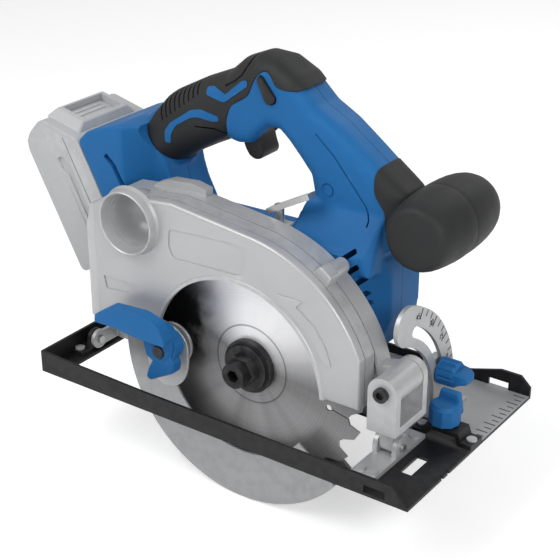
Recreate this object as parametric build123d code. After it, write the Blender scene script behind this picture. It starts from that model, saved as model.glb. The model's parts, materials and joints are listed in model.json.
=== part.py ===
"""Cordless circular saw with a 165 mm blade, every piece as its own solid, in millimetres.

The origin is on the sole, straight under the arbor, in the parting plane of the housing halves.
+X points forward, +Y from the blade towards the motor, +Z up. Sizes that are marked "from the
blade" are measured along Y from the middle of the blade; yb() turns them into Y.
"""
import os
from math import atan2, cos, degrees, hypot, radians, sin

from build123d import *

# Fits and walls
RUN = 0.05              # radial clearance of a running fit
GAP = 0.3               # room between faces that pass each other
PART_GAP = 0.1          # joint line between two halves
SHELL = 2.8             # wall of the plastic housing
RUBBER = 1.8            # thickness of the soft grip layer
REACH = 400.0           # further than any part of the saw

# Screws
SCREW_R = 2.0
HEAD_R, HEAD_T = 3.6, 2.5
BOSS_R = 5.0
BOLT_R = 3.0            # clamp bolts of the bevel, the depth and the fence

# Blade and arbor
BLADE_DIA = 165.0
BLADE_T = 1.2
BLADE_BORE = 20.0
TEETH = 24
GULLET = 10.0           # depth of the gaps between teeth
BLADE_R = BLADE_DIA / 2
BLADE_Y = -50.0         # middle of the blade, from the parting plane
ARBOR_Z = 29.0          # arbor above the sole, which leaves a cut of 53.5
SPINDLE_R, NOSE_R = 7.0, 6.0
BOLT_HOLE_R = 4.0       # thread of the blade bolt
FLANGE_R = 17.7
FLANGE_BACK = 4.5       # back of the inner flange, from the blade
BEARING_R = 13.0        # near bearing of the spindle
FAR_BEARING_R = 10.5

# Fixed guard, its faces measured from the blade
LOWER_CLEAR = 7.5       # blade tips to the outside of the lower guard
GUARD_CLEAR = 5.0       # outside of the lower guard to the outside of the fixed guard
LOWER_R = BLADE_R + LOWER_CLEAR
GUARD_R = LOWER_R + GUARD_CLEAR
GUARD_WALL = 2.5
GUARD_NEAR, GUARD_FAR = -17.0, 13.0
GUARD_FLOOR = 33.0      # lower edge, above the sole
GUARD_TOP = ARBOR_Z + GUARD_R
GUARD_TAIL_X = -GUARD_R - 27
GUARD_NOSE_X = GUARD_R - 7
WINDOW_R = GUARD_R - 33
PORT_X, PORT_Z = GUARD_TAIL_X + 43.5, GUARD_TOP - 12.3
PORT_R, PORT_WALL = 17.5, 3.0
PORT_RIM = -24.0        # from the blade
GUARD_SCREWS = ((GUARD_TAIL_X + 16, GUARD_TOP - 16), (GUARD_TAIL_X + 8, GUARD_FLOOR + 11),
                (0.592 * GUARD_R, ARBOR_Z + 0.815 * GUARD_R))

# Lower guard and its lever, faces measured from the blade
LOWER_WALL = 2.0
LOWER_NEAR, LOWER_FAR = -13.5, 8.5
LOWER_START, LOWER_END = 168.0, 322.0
PIVOT_R = 19.95         # snout that the lower guard turns on
LEVER_X, LEVER_Z = -WINDOW_R + 11, ARBOR_Z + 5
LEVER_NECK_R = 8.0
LEVER_FACE, HUB_FACE = -36.0, -28.0
LEVER_HUB = ((-17, 12), (-17, 18), (7, 16), (14, 8), (13, -3), (9, -10), (-5, -14), (-7, -2))
LEVER_BAR = ((-46, 10), (-46, 15.5), (-37, 21), (-5, 19), (3, 10))
SPRING_WIRE = 0.7       # radius

# Base, depth hinge at its front end (axis along Y) and bevel tilt (axis along X)
PLATE_T = 2.0
HINGE_X, HINGE_Z, HINGE_R = GUARD_R + 10.5, 52.0, 3.0
CHEEK_R, CHEEK_T = 9.6, 5.0
BRACKET_NEAR, BRACKET_FAR = -20.0, 15.0     # from the blade
BRACKET_Z = 26.0
TILT_Y, TILT_Z = -3.0, 10.0                 # bevel axis, from the blade and above the sole
PIN_R = 2.5
FOOT_X0, FOOT_X1 = HINGE_X - 11.5, HINGE_X + 4.5
FOOT_NEAR, FOOT_FAR, FOOT_T = -36.0, 25.0, 3.0
EAR_R, EAR_T = 6.5, 3.0
FENCE_X0, FENCE_X1, FENCE_H = FOOT_X1, FOOT_X1 + 14, 5.0
BRIDGE_X0, BRIDGE_X1 = FENCE_X0 - 4, FENCE_X1 + 8
BRIDGE_Y0, BRIDGE_Y1 = 28.0, 42.0           # from the blade
BRIDGE_H = 9.5
FENCE_BOLT_X, FENCE_BOLT_Y = (FENCE_X0 + FENCE_X1) / 2, (BRIDGE_Y0 + BRIDGE_Y1) / 2
FENCE_BOLT_TOP = 24.0
BASE_REAR, BASE_FRONT = GUARD_TAIL_X - 16, BRIDGE_X1 + 7
BASE_NEAR, BASE_FAR = -44.7, 107.7          # from the blade
LIP_NEAR, LIP_REAR, LIP_FAR, LIP_CORNER = 12.6, 15.0, 8.0, 14.6
EAR_X = BASE_REAR + 8
QUAD_X, QUAD_T = HINGE_X - CHEEK_R + GAP, 2.6
QUAD_IN, QUAD_OUT, QUAD_END = 57.0, 82.0, 72.0
QUAD_SLOT_R, QUAD_SLOT_W = 66.5, 7.0
BOLT_ANGLE = 17.0       # where the bevel bolt stands in its slot with the blade upright
BEVEL_RANGE = 45.0
RIVETS = ((FOOT_X0 + 4, -29), (FOOT_X1 - 4, -29), (FOOT_X0 + 4, 19), (FOOT_X1 - 4, 19),
          (QUAD_X + 7.8, 60), (QUAD_X + 7.8, 72), (BASE_REAR + 5.5, -14), (BASE_REAR + 5.5, 8),
          (BRIDGE_X0 - 3.8, FENCE_BOLT_Y), (BRIDGE_X1 + 3.8, FENCE_BOLT_Y))     # Y from the blade

# Gears and motor, faces measured from the blade
MODULE = 1.0
GEAR_TEETH, PINION_TEETH = 44, 9
GEAR_Y0, GEAR_W = 22.0, 9.0
GEAR_Y1 = GEAR_Y0 + GEAR_W
GEAR_CENTRES = MODULE * (GEAR_TEETH + PINION_TEETH) / 2
GEAR_TIP = MODULE * (GEAR_TEETH / 2 + 1)
MOTOR_X = 17.0
MOTOR_Z = ARBOR_Z + (GEAR_CENTRES ** 2 - MOTOR_X ** 2) ** 0.5
MOTOR_R, MOTOR_FAR = 41.0, 101.0
MESH_ANGLE = degrees(atan2(MOTOR_Z - ARBOR_Z, MOTOR_X))
POT_R, POT_FAR = GEAR_TIP + 1 + GUARD_WALL, 34.0
COVER_T = 3.0           # gear cover
COVER_R = 33.0
MOTOR_SEAT = 8.0        # outside of the motor's bearings
SHAFT_R, PINION_BORE = 4.0, 2.6
ARMATURE_R, CAN_R = 17.0, 28.0
FAN_R, FAN_Y, FAN_BLADES = 30.0, 43.0, 12
COMMUTATOR_R = 10.0
END_Y0, END_Y1 = 91.5, 97.0                 # cross-bar at the far end of the motor

# Depth arc, behind the fixed guard
DEPTH_RANGE = 20.0
ARC_CLEAR, ARC_W, ARC_T = 11.0, 18.0, 3.0
ARC_R = HINGE_X + POT_R + ARC_CLEAR + ARC_W / 2
ARC_Y0 = GUARD_FAR + 0.5
DEPTH_X = HINGE_X - ARC_R

# Spindle lock: a plunger in a tower of the gear case, pushed by a sloping bar
LOCK_X, LOCK_Y, LOCK_R = 6.0, 21.0, 3.0
LOCK_TRAVEL = 3.0
LOCK_FOOT = ARBOR_Z + GEAR_TIP + LOCK_TRAVEL + 0.6
LOCK_TOP = GUARD_TOP + 5
TOWER_HALF = 7.0
TOWER_TOP = LOCK_TOP - LOCK_TRAVEL - 8
LOCK_BAR = ((-6, -5.5), (24, 10.5), (22.5, 13.5), (-7.5, -2.5))   # from the plunger's top
LOCK_BAR_HALF = 4.0

# Housing, handle and front knob, in the side view
HANDLE_W, HANDLE_ROUND = 35.0, 8.0
HANDLE = ((-107, 163), (-90, 175.5), (-67, 188), (-46, 196.5), (-36, 207), (-26, 212), (-10, 211),
          (4, 204), (13, 195), (22, 186.5), (36, 180), (64, 159.5), (82, 147), (90, 134), (86, 114),
          (72, 104), (30, 92), (-24, 87), (-62, 86), (-92, 86), (-116, 116))
FINGER_GAP = ((-77, 101), (-84, 114), (-88, 126), (-80, 137), (-66, 145), (-46, 155), (-28, 158),
              (-12, 172), (-3, 169), (8, 157), (18, 146), (19, 124), (17, 112), (10, 103))
GRIP_ZONE = ((-60, 230), (-98, 190), (-95, 171), (-101.5, 161), (-105, 154), (-102, 146), (-97, 140),
             (-85, 136), (-66, 138), (-46, 150), (-42, 161), (-42, 170), (-38.5, 179.5), (-25, 188),
             (-20, 200), (-14.5, 205.5), (-9, 203), (-5, 196.5), (8, 196), (22, 200), (40, 230))
COLLAR_ZONE = ((69, 172), (62, 152), (70, 90), (110, 90), (110, 172))
FRONT_BODY = ((-24, 90), (0, 98), (16, 116), (66, 119), (74, 112), (75.5, 96), (75.5, 64), (71, 52),
              (64, 39), (54, 30), (40, MOTOR_Z - 10), (MOTOR_X, MOTOR_Z), (-20, 70))
HOUSING_NEAR = 17.5                         # near face of the front body, from the blade
HOUSING_FAR = 72.0
TAPER_X, NECK_X = -112.0, -97.0             # where the rear block starts and ends its taper
NECK_HALF, NECK_END_X = 19.5, -70.0         # the block's neck under the grip
BOARD_X0, BOARD_X1 = TAPER_X + 1, -92.0
VENTS, VENT_PITCH, VENT_H = 5, 6.0, 3.0
VENT_X0, VENT_X1, VENT_Z = 46.0, 74.0, 72.0
HOUSING_SCREWS = ((-118, 118), (-60, 93.5), (45, 140), (62, 86), (-66, 166))
SUNK = 6.0              # depth of the screw heads below the handle's side
KNOB_X, KNOB_Z = 100.5, 131.5
KNOB_R, KNOB_END_R, KNOB_L = 23.5, 14.0, 88.0

# Trigger and lock-off button
TRIGGER = ((-37, 170), (-36, 158), (-33.5, 152), (-28, 148), (-21, 147), (-15, 150.5), (-13.5, 156),
           (-15.5, 161), (-13, 167), (-11, 173), (-28, 175))
TRIGGER_ROOM = ((-48, 176), (-48, 142), (-10, 142), (-8, 176), (-26, 181))
TRIGGER_HALF = 7.0
TRIGGER_X, TRIGGER_Z, TRUNNION_R, TRUNNION_HALF = -16.0, 170.0, 2.0, 10.0
LOCK_OFF_X, LOCK_OFF_Z, LOCK_OFF_TURN = -8.0, 192.0, -54.0
LOCK_OFF_L, LOCK_OFF_W = 16.0, 7.0

# Battery, in its own slide frame: along the slide, and back from the mating face
CELLS, CELL_R, CELL_L, CELL_PITCH = 5, 9.0, 65.0, 18.2
PACK_W = CELL_L + 2 * SHELL + 1.4
PACK_X, PACK_Z = -132.0, 106.0              # point on the mating face
PACK_TILT = 28.0                            # slide direction from the vertical
PACK_LOW, PACK_T, PACK_SPLIT = -44.0, 47.0, 12.0
RAIL_W, RAIL_T, RAIL_LIP = 34.0, 8.0, 4.0
RAIL_LOW, RAIL_TOP = -34.0, 18.0
BUTTON_LOW, BUTTON_HIGH = (46, 8), (58, 21)
BUTTON_HALF, BUTTON_LIFT, BUTTON_TRAVEL, BUTTON_DEPTH = 18.0, 1.5, 2.0, 3.5

os.makedirs("parts", exist_ok=True)


def save(name, shape):
    """Writes one node."""
    shape.label = name
    export_step(shape, f"parts/{name}.step")


# Drawing helpers


def yb(distance):
    """Y of a plane at a distance from the blade."""
    return BLADE_Y + distance


def block(x0, x1, y0, y1, z0, z1):
    """Box between two corners."""
    return Pos((x0 + x1) / 2, (y0 + y1) / 2, (z0 + z1) / 2) * Box(x1 - x0, y1 - y0, z1 - z0)


def side(*points):
    """Side-view outline from (x, z) points."""
    return Polygon(*points, align=None)


def prism(outline, y0, y1):
    """Side-view outline carried from y0 to y1."""
    plane = Plane((0, y1, 0), x_dir=(1, 0, 0), z_dir=(0, -1, 0))
    return extrude(plane * outline, y1 - y0, dir=(0, -1, 0))


def slab(outline, x0, x1):
    """Front-view outline of (y, z) points carried from x0 to x1."""
    plane = Plane((x0, 0, 0), x_dir=(0, 1, 0), z_dir=(1, 0, 0))
    return extrude(plane * outline, x1 - x0, dir=(1, 0, 0))


def disc(x, z, radius):
    """Circle in a side view, or in a front view of (y, z)."""
    return Pos(x, z) * Circle(radius)


def rod_y(x, z, radius, y0, y1):
    """Round bar along Y."""
    return prism(disc(x, z, radius), y0, y1)


def rod_x(y, z, radius, x0, x1):
    """Round bar along X."""
    return slab(disc(y, z, radius), x0, x1)


def rod_z(x, y, radius, z0, z1):
    """Round bar along Z."""
    return Pos(x, y, (z0 + z1) / 2) * Cylinder(radius, z1 - z0)


def arbor_rod(radius, near, far):
    """Round bar on the arbor, its ends measured from the blade."""
    return rod_y(0, ARBOR_Z, radius, yb(near), yb(far))


def motor_rod(radius, near, far):
    """Round bar on the motor's axis, its ends measured from the blade."""
    return rod_y(MOTOR_X, MOTOR_Z, radius, yb(near), yb(far))


def polar(cx, cz, radius, angle):
    """Point at an angle, in degrees, round a centre."""
    return (cx + radius * cos(radians(angle)), cz + radius * sin(radians(angle)))


def sector(cx, cz, r0, r1, a0, a1):
    """Ring segment from angle a0 to a1."""
    steps = 8
    rim = [polar(cx, cz, 2 * r1, a0 + (a1 - a0) * i / steps) for i in range(steps + 1)]
    ring = disc(cx, cz, r1) - disc(cx, cz, r0)
    return ring & Polygon((cx, cz), *rim, align=None)


def arc_slot(cx, cz, radius, width, a0, a1):
    """Curved slot with round ends."""
    first, last = [disc(*polar(cx, cz, radius, angle), width / 2) for angle in (a0, a1)]
    return sector(cx, cz, radius - width / 2, radius + width / 2, a0, a1) + first + last


def gear(cx, cz, teeth, phase):
    """Outline of a spur gear with straight-sided teeth."""
    pitch = MODULE * teeth / 2
    tip, root = pitch + 0.95 * MODULE, pitch - 1.2 * MODULE
    step = 360 / teeth
    points = []
    for i in range(teeth):
        middle = phase + i * step
        for radius, share in ((root, -0.34), (tip, -0.11), (tip, 0.11), (root, 0.34)):
            points.append(polar(cx, cz, radius, middle + share * step))
    return Polygon(*points, align=None)


def inner(outline, inset):
    """Outline moved inwards, corners kept sharp."""
    if inset == 0:
        return outline
    return offset(outline, -inset, kind=Kind.INTERSECTION)


def halves(body):
    """Near and far half of a piece that is split in the parting plane."""
    near = body & block(-REACH, REACH, -REACH, -PART_GAP / 2, -REACH, REACH)
    far = body & block(-REACH, REACH, PART_GAP / 2, REACH, -REACH, REACH)
    return near, far


# Fixed guard: the gear case is its far half


def guard_outline():
    """Side view of the guard, before its lower edge is cut."""
    tail = side((12, GUARD_TOP - 0.6), (GUARD_TAIL_X + 75, GUARD_TOP + 6.4),
                (GUARD_TAIL_X + 28, GUARD_TOP + 2), (GUARD_TAIL_X + 9, GUARD_TOP - 9),
                (GUARD_TAIL_X, GUARD_TOP - 27), (GUARD_TAIL_X, ARBOR_Z - GUARD_R), (0, ARBOR_Z - GUARD_R))
    return disc(0, ARBOR_Z, GUARD_R) + tail


def above_floor(outline):
    """The part of an outline over the guard's lower edge."""
    return outline & side((-REACH, GUARD_FLOOR), (REACH, GUARD_FLOOR), (REACH, REACH), (-REACH, REACH))


GUARD_SKIN = above_floor(guard_outline())
GUARD_HOLLOW = above_floor(offset(guard_outline(), -GUARD_WALL))


def hinge_lug():
    """Ear of the gear case that turns on the depth hinge."""
    near, far = BRACKET_NEAR + CHEEK_T + GAP, BRACKET_FAR - CHEEK_T - GAP
    barrel = rod_y(HINGE_X, HINGE_Z, CHEEK_R - 0.4, yb(near), yb(far))
    arm = prism(side((HINGE_X, HINGE_Z + CHEEK_R - 0.6), (GUARD_R - 5, HINGE_Z + 5),
                     (GUARD_R - 4.5, GUARD_FLOOR + 2), (HINGE_X - 3, HINGE_Z - CHEEK_R + 1)),
                yb(PART_GAP), yb(far))
    return barrel + arm - arbor_rod(GUARD_R - 1, -20, 20)


def lock_tower():
    """Post on the gear case that guides the spindle lock."""
    outline = side((LOCK_X - TOWER_HALF, ARBOR_Z + POT_R - 4), (LOCK_X + TOWER_HALF, ARBOR_Z + POT_R - 4),
                   (LOCK_X + TOWER_HALF, TOWER_TOP), (LOCK_X - TOWER_HALF, TOWER_TOP))
    return prism(outline, yb(GUARD_FAR - 1), yb(LOCK_Y + 6))


def rear_swell():
    """Swelling on the far half of the guard, behind the handle."""
    outline = side((GUARD_TAIL_X + 34, GUARD_TOP - 6), (GUARD_TAIL_X + 45, GUARD_TOP + 5.5),
                   (GUARD_TAIL_X + 56, GUARD_TOP + 10), (GUARD_TAIL_X + 74, GUARD_TOP + 11.5),
                   (GUARD_TAIL_X + 84, GUARD_TOP + 9.5), (GUARD_TAIL_X + 84, GUARD_TOP - 6))
    return prism(outline, yb(GUARD_FAR - 7), yb(GUARD_FAR))


def gear_case():
    """Far half of the guard with the gear pot, the pivot, the hinge lug and the lock's tower."""
    body = prism(GUARD_SKIN, yb(PART_GAP), yb(GUARD_FAR)) + rear_swell()
    body -= prism(GUARD_HOLLOW, yb(-1), yb(GUARD_FAR - GUARD_WALL))
    body += arbor_rod(POT_R, GUARD_FAR - GUARD_WALL, POT_FAR)
    body += motor_rod(14, GUARD_FAR, POT_FAR)
    body += arbor_rod(PIVOT_R, 5.5, GUARD_FAR)
    body += hinge_lug() + lock_tower()
    for x, z in GUARD_SCREWS:
        body += rod_y(x, z, BOSS_R, yb(PART_GAP), yb(GUARD_FAR))
    body += rod_y(DEPTH_X, HINGE_Z, 7, yb(GUARD_FAR - GUARD_WALL), yb(GUARD_FAR))
    body -= arbor_rod(POT_R - GUARD_WALL, 16, POT_FAR)
    body -= motor_rod(10, 20, POT_FAR)
    body -= arbor_rod(BEARING_R, 7, 16)
    body -= arbor_rod(SPINDLE_R + 2, 5, 8)
    body -= rod_y(HINGE_X, HINGE_Z, HINGE_R + RUN, yb(-30), yb(30))
    body -= rod_y(DEPTH_X, HINGE_Z, BOLT_R, yb(0), yb(GUARD_FAR + 1))
    body -= rod_z(LOCK_X, yb(LOCK_Y), LOCK_R + RUN, 40, REACH)
    for x, z in GUARD_SCREWS:
        body -= rod_y(x, z, SCREW_R, yb(-1), yb(GUARD_FAR + 1))
        body -= rod_y(x, z, HEAD_R, yb(GUARD_FAR - HEAD_T), yb(GUARD_FAR + 1))
    return body


SCREW_END = GUARD_NEAR + 8.5    # where the guard's screws end in the near half


def guard_cover():
    """Near half of the guard, with the window over the blade and the dust port."""
    nose = side((-REACH, 0), (GUARD_NOSE_X, 0), (GUARD_NOSE_X, REACH), (-REACH, REACH))
    body = prism(GUARD_SKIN & nose, yb(GUARD_NEAR), yb(-PART_GAP))
    body -= prism(GUARD_HOLLOW, yb(GUARD_NEAR + GUARD_WALL), yb(1))
    body -= arbor_rod(WINDOW_R, GUARD_NEAR - 1, 0)
    body += rod_y(PORT_X, PORT_Z, PORT_R + PORT_WALL, yb(PORT_RIM), yb(GUARD_NEAR + GUARD_WALL))
    for x, z in GUARD_SCREWS:
        body += rod_y(x, z, BOSS_R, yb(GUARD_NEAR + 1), yb(-PART_GAP))
    body -= rod_y(PORT_X, PORT_Z, PORT_R, yb(PORT_RIM - 1), yb(GUARD_NEAR + GUARD_WALL + 1))
    for x, z in GUARD_SCREWS:
        body -= rod_y(x, z, SCREW_R, yb(SCREW_END - 0.5), yb(1))
    return body


def guard_screws():
    """Screws that hold the guard's halves together, driven from the far side."""
    group = []
    for x, z in GUARD_SCREWS:
        shank = rod_y(x, z, SCREW_R, yb(SCREW_END), yb(GUARD_FAR))
        group.append(shank + rod_y(x, z, HEAD_R, yb(GUARD_FAR - HEAD_T), yb(GUARD_FAR)))
    return Compound(children=group)


def spindle_lock():
    """Plunger that drops towards the driven gear when its bar is pressed."""
    outline = side(*[(LOCK_X + x, LOCK_TOP + z) for x, z in LOCK_BAR])
    bar = prism(outline, yb(LOCK_Y - LOCK_BAR_HALF), yb(LOCK_Y + LOCK_BAR_HALF))
    return rod_z(LOCK_X, yb(LOCK_Y), LOCK_R, LOCK_FOOT, LOCK_TOP + 1) + bar


# Lower guard and its lever


def lower_guard():
    """Swinging guard: a rim with a near and a far wall, on the gear case's pivot."""
    rim = sector(0, ARBOR_Z, LOWER_R - LOWER_WALL, LOWER_R, LOWER_START, LOWER_END)
    near = sector(0, ARBOR_Z, WINDOW_R - 6, LOWER_R, LOWER_START + 8, LOWER_END)
    near += disc(LEVER_X, LEVER_Z, LEVER_NECK_R + 6)
    far = sector(0, ARBOR_Z, PIVOT_R + RUN, LOWER_R, LOWER_START, LOWER_END)
    far += disc(0, ARBOR_Z, PIVOT_R + 6)
    body = prism(rim, yb(LOWER_NEAR), yb(LOWER_FAR))
    body += prism(near, yb(LOWER_NEAR), yb(LOWER_NEAR + LOWER_WALL))
    body += prism(far, yb(LOWER_FAR - LOWER_WALL), yb(LOWER_FAR))
    body -= arbor_rod(PIVOT_R + RUN, 0, LOWER_FAR + 1)
    return body - rod_y(LEVER_X, LEVER_Z, SCREW_R, yb(LOWER_NEAR - 1), yb(LOWER_NEAR + LOWER_WALL + 1))


def guard_lever():
    """Thumb lever that lifts the lower guard."""
    place = Pos(LEVER_X, LEVER_Z)
    neck = rod_y(LEVER_X, LEVER_Z, LEVER_NECK_R, yb(HUB_FACE), yb(LOWER_NEAR))
    hub = prism(place * side(*LEVER_HUB), yb(HUB_FACE), yb(GUARD_NEAR - 0.8))
    bar = prism(place * side(*LEVER_BAR), yb(LEVER_FACE), yb(PORT_RIM - 1.5))
    return neck + hub + bar - rod_y(LEVER_X, LEVER_Z, SCREW_R, yb(HUB_FACE - 1), yb(0))


def lever_screw():
    """Screw that holds the lever on the lower guard."""
    shank = rod_y(LEVER_X, LEVER_Z, SCREW_R, yb(HUB_FACE), yb(LOWER_NEAR + LOWER_WALL))
    return shank + rod_y(LEVER_X, LEVER_Z, 2 * SCREW_R, yb(HUB_FACE - 2), yb(HUB_FACE))


def guard_spring():
    """Return spring of the lower guard, as a plain ring round its pivot."""
    ring = Torus(PIVOT_R + 2 * SPRING_WIRE, SPRING_WIRE)
    return Pos(0, yb(LOWER_FAR + 1), ARBOR_Z) * Rot(90, 0, 0) * ring


# Blade and arbor


def blade():
    """Saw blade with raked teeth, gullets and four expansion slots."""
    points = []
    step = 360 / TEETH
    root = BLADE_R - GULLET
    tooth = ((BLADE_R, 0), (BLADE_R - 1.8, 0.33), (root + 2, 0.57), (root, 0.75), (root + 2.2, 0.95))
    for i in range(TEETH):
        for radius, share in tooth:
            points.append(polar(0, ARBOR_Z, radius, -(i + share) * step))
    outline = Polygon(*points, align=None) - disc(0, ARBOR_Z, BLADE_BORE / 2)
    for i in range(4):
        angle = -step * (0.76 + i * TEETH / 4)
        outline -= disc(*polar(0, ARBOR_Z, root - 14, angle), 2.0)
        outline -= Pos(*polar(0, ARBOR_Z, root - 6, angle)) * Rot(0, 0, angle) * Rectangle(17, 0.8)
    return prism(outline, yb(-BLADE_T / 2), yb(BLADE_T / 2))


def spindle():
    """Arbor, stepped down where the flanges sit and bored for the blade bolt."""
    body = arbor_rod(NOSE_R, -BLADE_T / 2, 40) + arbor_rod(SPINDLE_R, FLANGE_BACK, POT_FAR - 0.5)
    return body - arbor_rod(BOLT_HOLE_R, -2, 18)


def inner_flange():
    """Flange behind the blade, with the spigot that centres it."""
    body = arbor_rod(FLANGE_R, BLADE_T / 2, FLANGE_BACK)
    body += arbor_rod(BLADE_BORE / 2, -BLADE_T / 2, 1)
    return body - arbor_rod(NOSE_R, -2, FLANGE_BACK + 1)


def outer_flange():
    """Stepped flange in front of the blade."""
    body = arbor_rod(FLANGE_R, -5, -BLADE_T / 2) + arbor_rod(FLANGE_R - 2.5, -7.5, -5)
    return body - arbor_rod(BOLT_HOLE_R, -8, 0)


def blade_bolt():
    """Bolt with a hexagon collar and a socket in its head."""
    collar = Pos(0, ARBOR_Z) * RegularPolygon(10.5, 6)
    socket = Pos(0, ARBOR_Z) * RegularPolygon(4.2, 6)
    body = arbor_rod(BOLT_HOLE_R, -8, 17) + prism(collar, yb(-13.5), yb(-7.5)) + arbor_rod(8.2, -20, -13)
    return body - prism(socket, yb(-21), yb(-14))


def driven_gear():
    """Gear on the spindle."""
    body = prism(gear(0, ARBOR_Z, GEAR_TEETH, MESH_ANGLE), yb(GEAR_Y0), yb(GEAR_Y1))
    return body - arbor_rod(SPINDLE_R, GEAR_Y0 - 1, GEAR_Y1 + 1)


def bearing(x, z, bore, outside, y0, y1):
    """Plain bearing ring that runs on a shaft."""
    return rod_y(x, z, outside, yb(y0), yb(y1)) - rod_y(x, z, bore + RUN, yb(y0 - 1), yb(y1 + 1))


# Motor


def gear_cover():
    """Plate that closes the gear pot and carries two bearings."""
    plate = arbor_rod(POT_R, POT_FAR, POT_FAR + COVER_T) + motor_rod(COVER_R, POT_FAR, POT_FAR + COVER_T)
    plate += arbor_rod(BEARING_R, POT_FAR, 41.5) + motor_rod(MOTOR_SEAT + 2, POT_FAR - 2, 39)
    plate -= arbor_rod(FAR_BEARING_R, POT_FAR - 1, 40.2) + arbor_rod(SPINDLE_R, 40, 42)
    return plate - motor_rod(MOTOR_SEAT, POT_FAR - 3, 40)


def armature():
    """Motor shaft with its wound core."""
    shaft = motor_rod(SHAFT_R, GEAR_Y1, 96) + motor_rod(PINION_BORE, GEAR_Y0, GEAR_Y1 + 1)
    return shaft + motor_rod(ARMATURE_R, 51, 80)


def pinion():
    """Small gear on the motor shaft."""
    phase = MESH_ANGLE + 180 + 180 / PINION_TEETH
    body = prism(gear(MOTOR_X, MOTOR_Z, PINION_TEETH, phase), yb(GEAR_Y0), yb(GEAR_Y1))
    return body - motor_rod(PINION_BORE, GEAR_Y0 - 1, GEAR_Y1 + 1)


def fan():
    """Cooling fan: a disc, a hub and straight blades."""
    body = motor_rod(FAN_R, FAN_Y, FAN_Y + 1.2) + motor_rod(9, FAN_Y, FAN_Y + 5)
    for i in range(FAN_BLADES):
        place = Pos(MOTOR_X, yb(FAN_Y + 1), MOTOR_Z) * Rot(-90, 0, 0) * Rot(0, 0, i * 360 / FAN_BLADES)
        body += place * block(8, FAN_R - 1, -0.8, 0.8, 0, 4)
    return body - motor_rod(SHAFT_R, FAN_Y - 1, FAN_Y + 6)


def commutator():
    """Ring that the brushes rub on."""
    return motor_rod(COMMUTATOR_R, 83, 91) - motor_rod(SHAFT_R, 82, 92)


def motor_can():
    """Magnet ring round the armature."""
    return motor_rod(CAN_R, 50, 82) - motor_rod(ARMATURE_R + 1, 46, 83)


def brush_holders():
    """Two brush tubes, one each side of the commutator."""
    tube = block(COMMUTATOR_R + GAP, 30, yb(84), yb(90), -3.5, 3.5)
    place = Pos(MOTOR_X, 0, MOTOR_Z)
    return Compound(children=[place * Rot(0, turn, 0) * tube for turn in (0, 180)])


def motor_end():
    """Cross-bar with six windows that holds the far bearing."""
    body = motor_rod(MOTOR_R - SHELL - 0.2, END_Y0, END_Y1) - motor_rod(MOTOR_SEAT, END_Y0 - 1, END_Y1 + 1)
    for turn in range(30, 390, 60):
        body -= Pos(MOTOR_X, yb(94), MOTOR_Z) * Rot(0, turn, 0) * block(14, 32, -4, 4, -7, 7)
    return body


# Housing, grips and knob


def handle_arch(inset):
    """D-shaped handle with rounded sides."""
    half = HANDLE_W / 2 - inset
    body = prism(inner(side(*HANDLE), inset), -half, half)
    if inset < HANDLE_ROUND / 2:
        body = fillet(body.edges().filter_by(Axis.Y, reverse=True), HANDLE_ROUND - inset)
    return body - prism(inner(side(*FINGER_GAP), -inset), -half - 1, half + 1)


def barrel(inset):
    """Round part of the housing over the motor."""
    return motor_rod(MOTOR_R - inset, POT_FAR + COVER_T + inset, MOTOR_FAR - inset)


def front_body(inset):
    """Part of the housing between the barrel and the front of the handle."""
    return prism(inner(side(*FRONT_BODY), inset), yb(HOUSING_NEAR + inset), yb(HOUSING_FAR - inset))


def rear_block(inset):
    """Part of the housing that takes the battery."""
    top, low = pack(38, 0), pack(-42, 0)
    outline = side(top, (top[0] + 8, top[1] + 8), (TAPER_X, 158), (-96, 156), (NECK_END_X, 138),
                   (NECK_END_X, 90), (-92, 84), low)
    plan = Polygon((-REACH, -PACK_W / 2), (TAPER_X, -PACK_W / 2), (NECK_X, -NECK_HALF), (0, -NECK_HALF),
                   (0, NECK_HALF), (NECK_X, NECK_HALF), (TAPER_X, PACK_W / 2), (-REACH, PACK_W / 2), align=None)
    return prism(inner(outline, inset), -60, 60) & extrude(inner(plan, inset), REACH, dir=(0, 0, 1))


def gear_room():
    """Space that the gear case, its cover, the fan and the lock take from the housing."""
    far = POT_FAR + COVER_T
    room = arbor_rod(POT_R + GAP, 0, far + GAP) + motor_rod(COVER_R + GAP, 0, far + GAP)
    room += arbor_rod(BEARING_R + GAP, 0, 42) + motor_rod(FAN_R + 1.5, 0, far + 5)
    room += block(LOCK_X - TOWER_HALF - 1, LOCK_X + TOWER_HALF + 4, yb(0), yb(LOCK_Y + 7), 30, TOWER_TOP)
    return room + block(LOCK_X - 9, LOCK_X + 27, yb(0), yb(LOCK_Y + 7), TOWER_TOP, LOCK_TOP + 20)


def lock_off_shape(grow):
    """Side view of the lock-off button."""
    outline = Pos(LOCK_OFF_X, LOCK_OFF_Z) * Rot(0, 0, LOCK_OFF_TURN) * SlotOverall(LOCK_OFF_L, LOCK_OFF_W)
    return offset(outline, grow) if grow else outline


def housing_skin():
    """The housing's outside, sunk where the soft layer and the collar lie."""
    grip, collar = prism(side(*GRIP_ZONE), -40, 40), prism(side(*COLLAR_ZONE), -40, 40)
    skin = handle_arch(0) - grip - collar
    skin += handle_arch(RUBBER) & grip
    skin += handle_arch(RUBBER) & collar
    skin += barrel(0) + front_body(0) + rear_block(0)
    return skin - prism(side(*FINGER_GAP), -60, 60)


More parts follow.
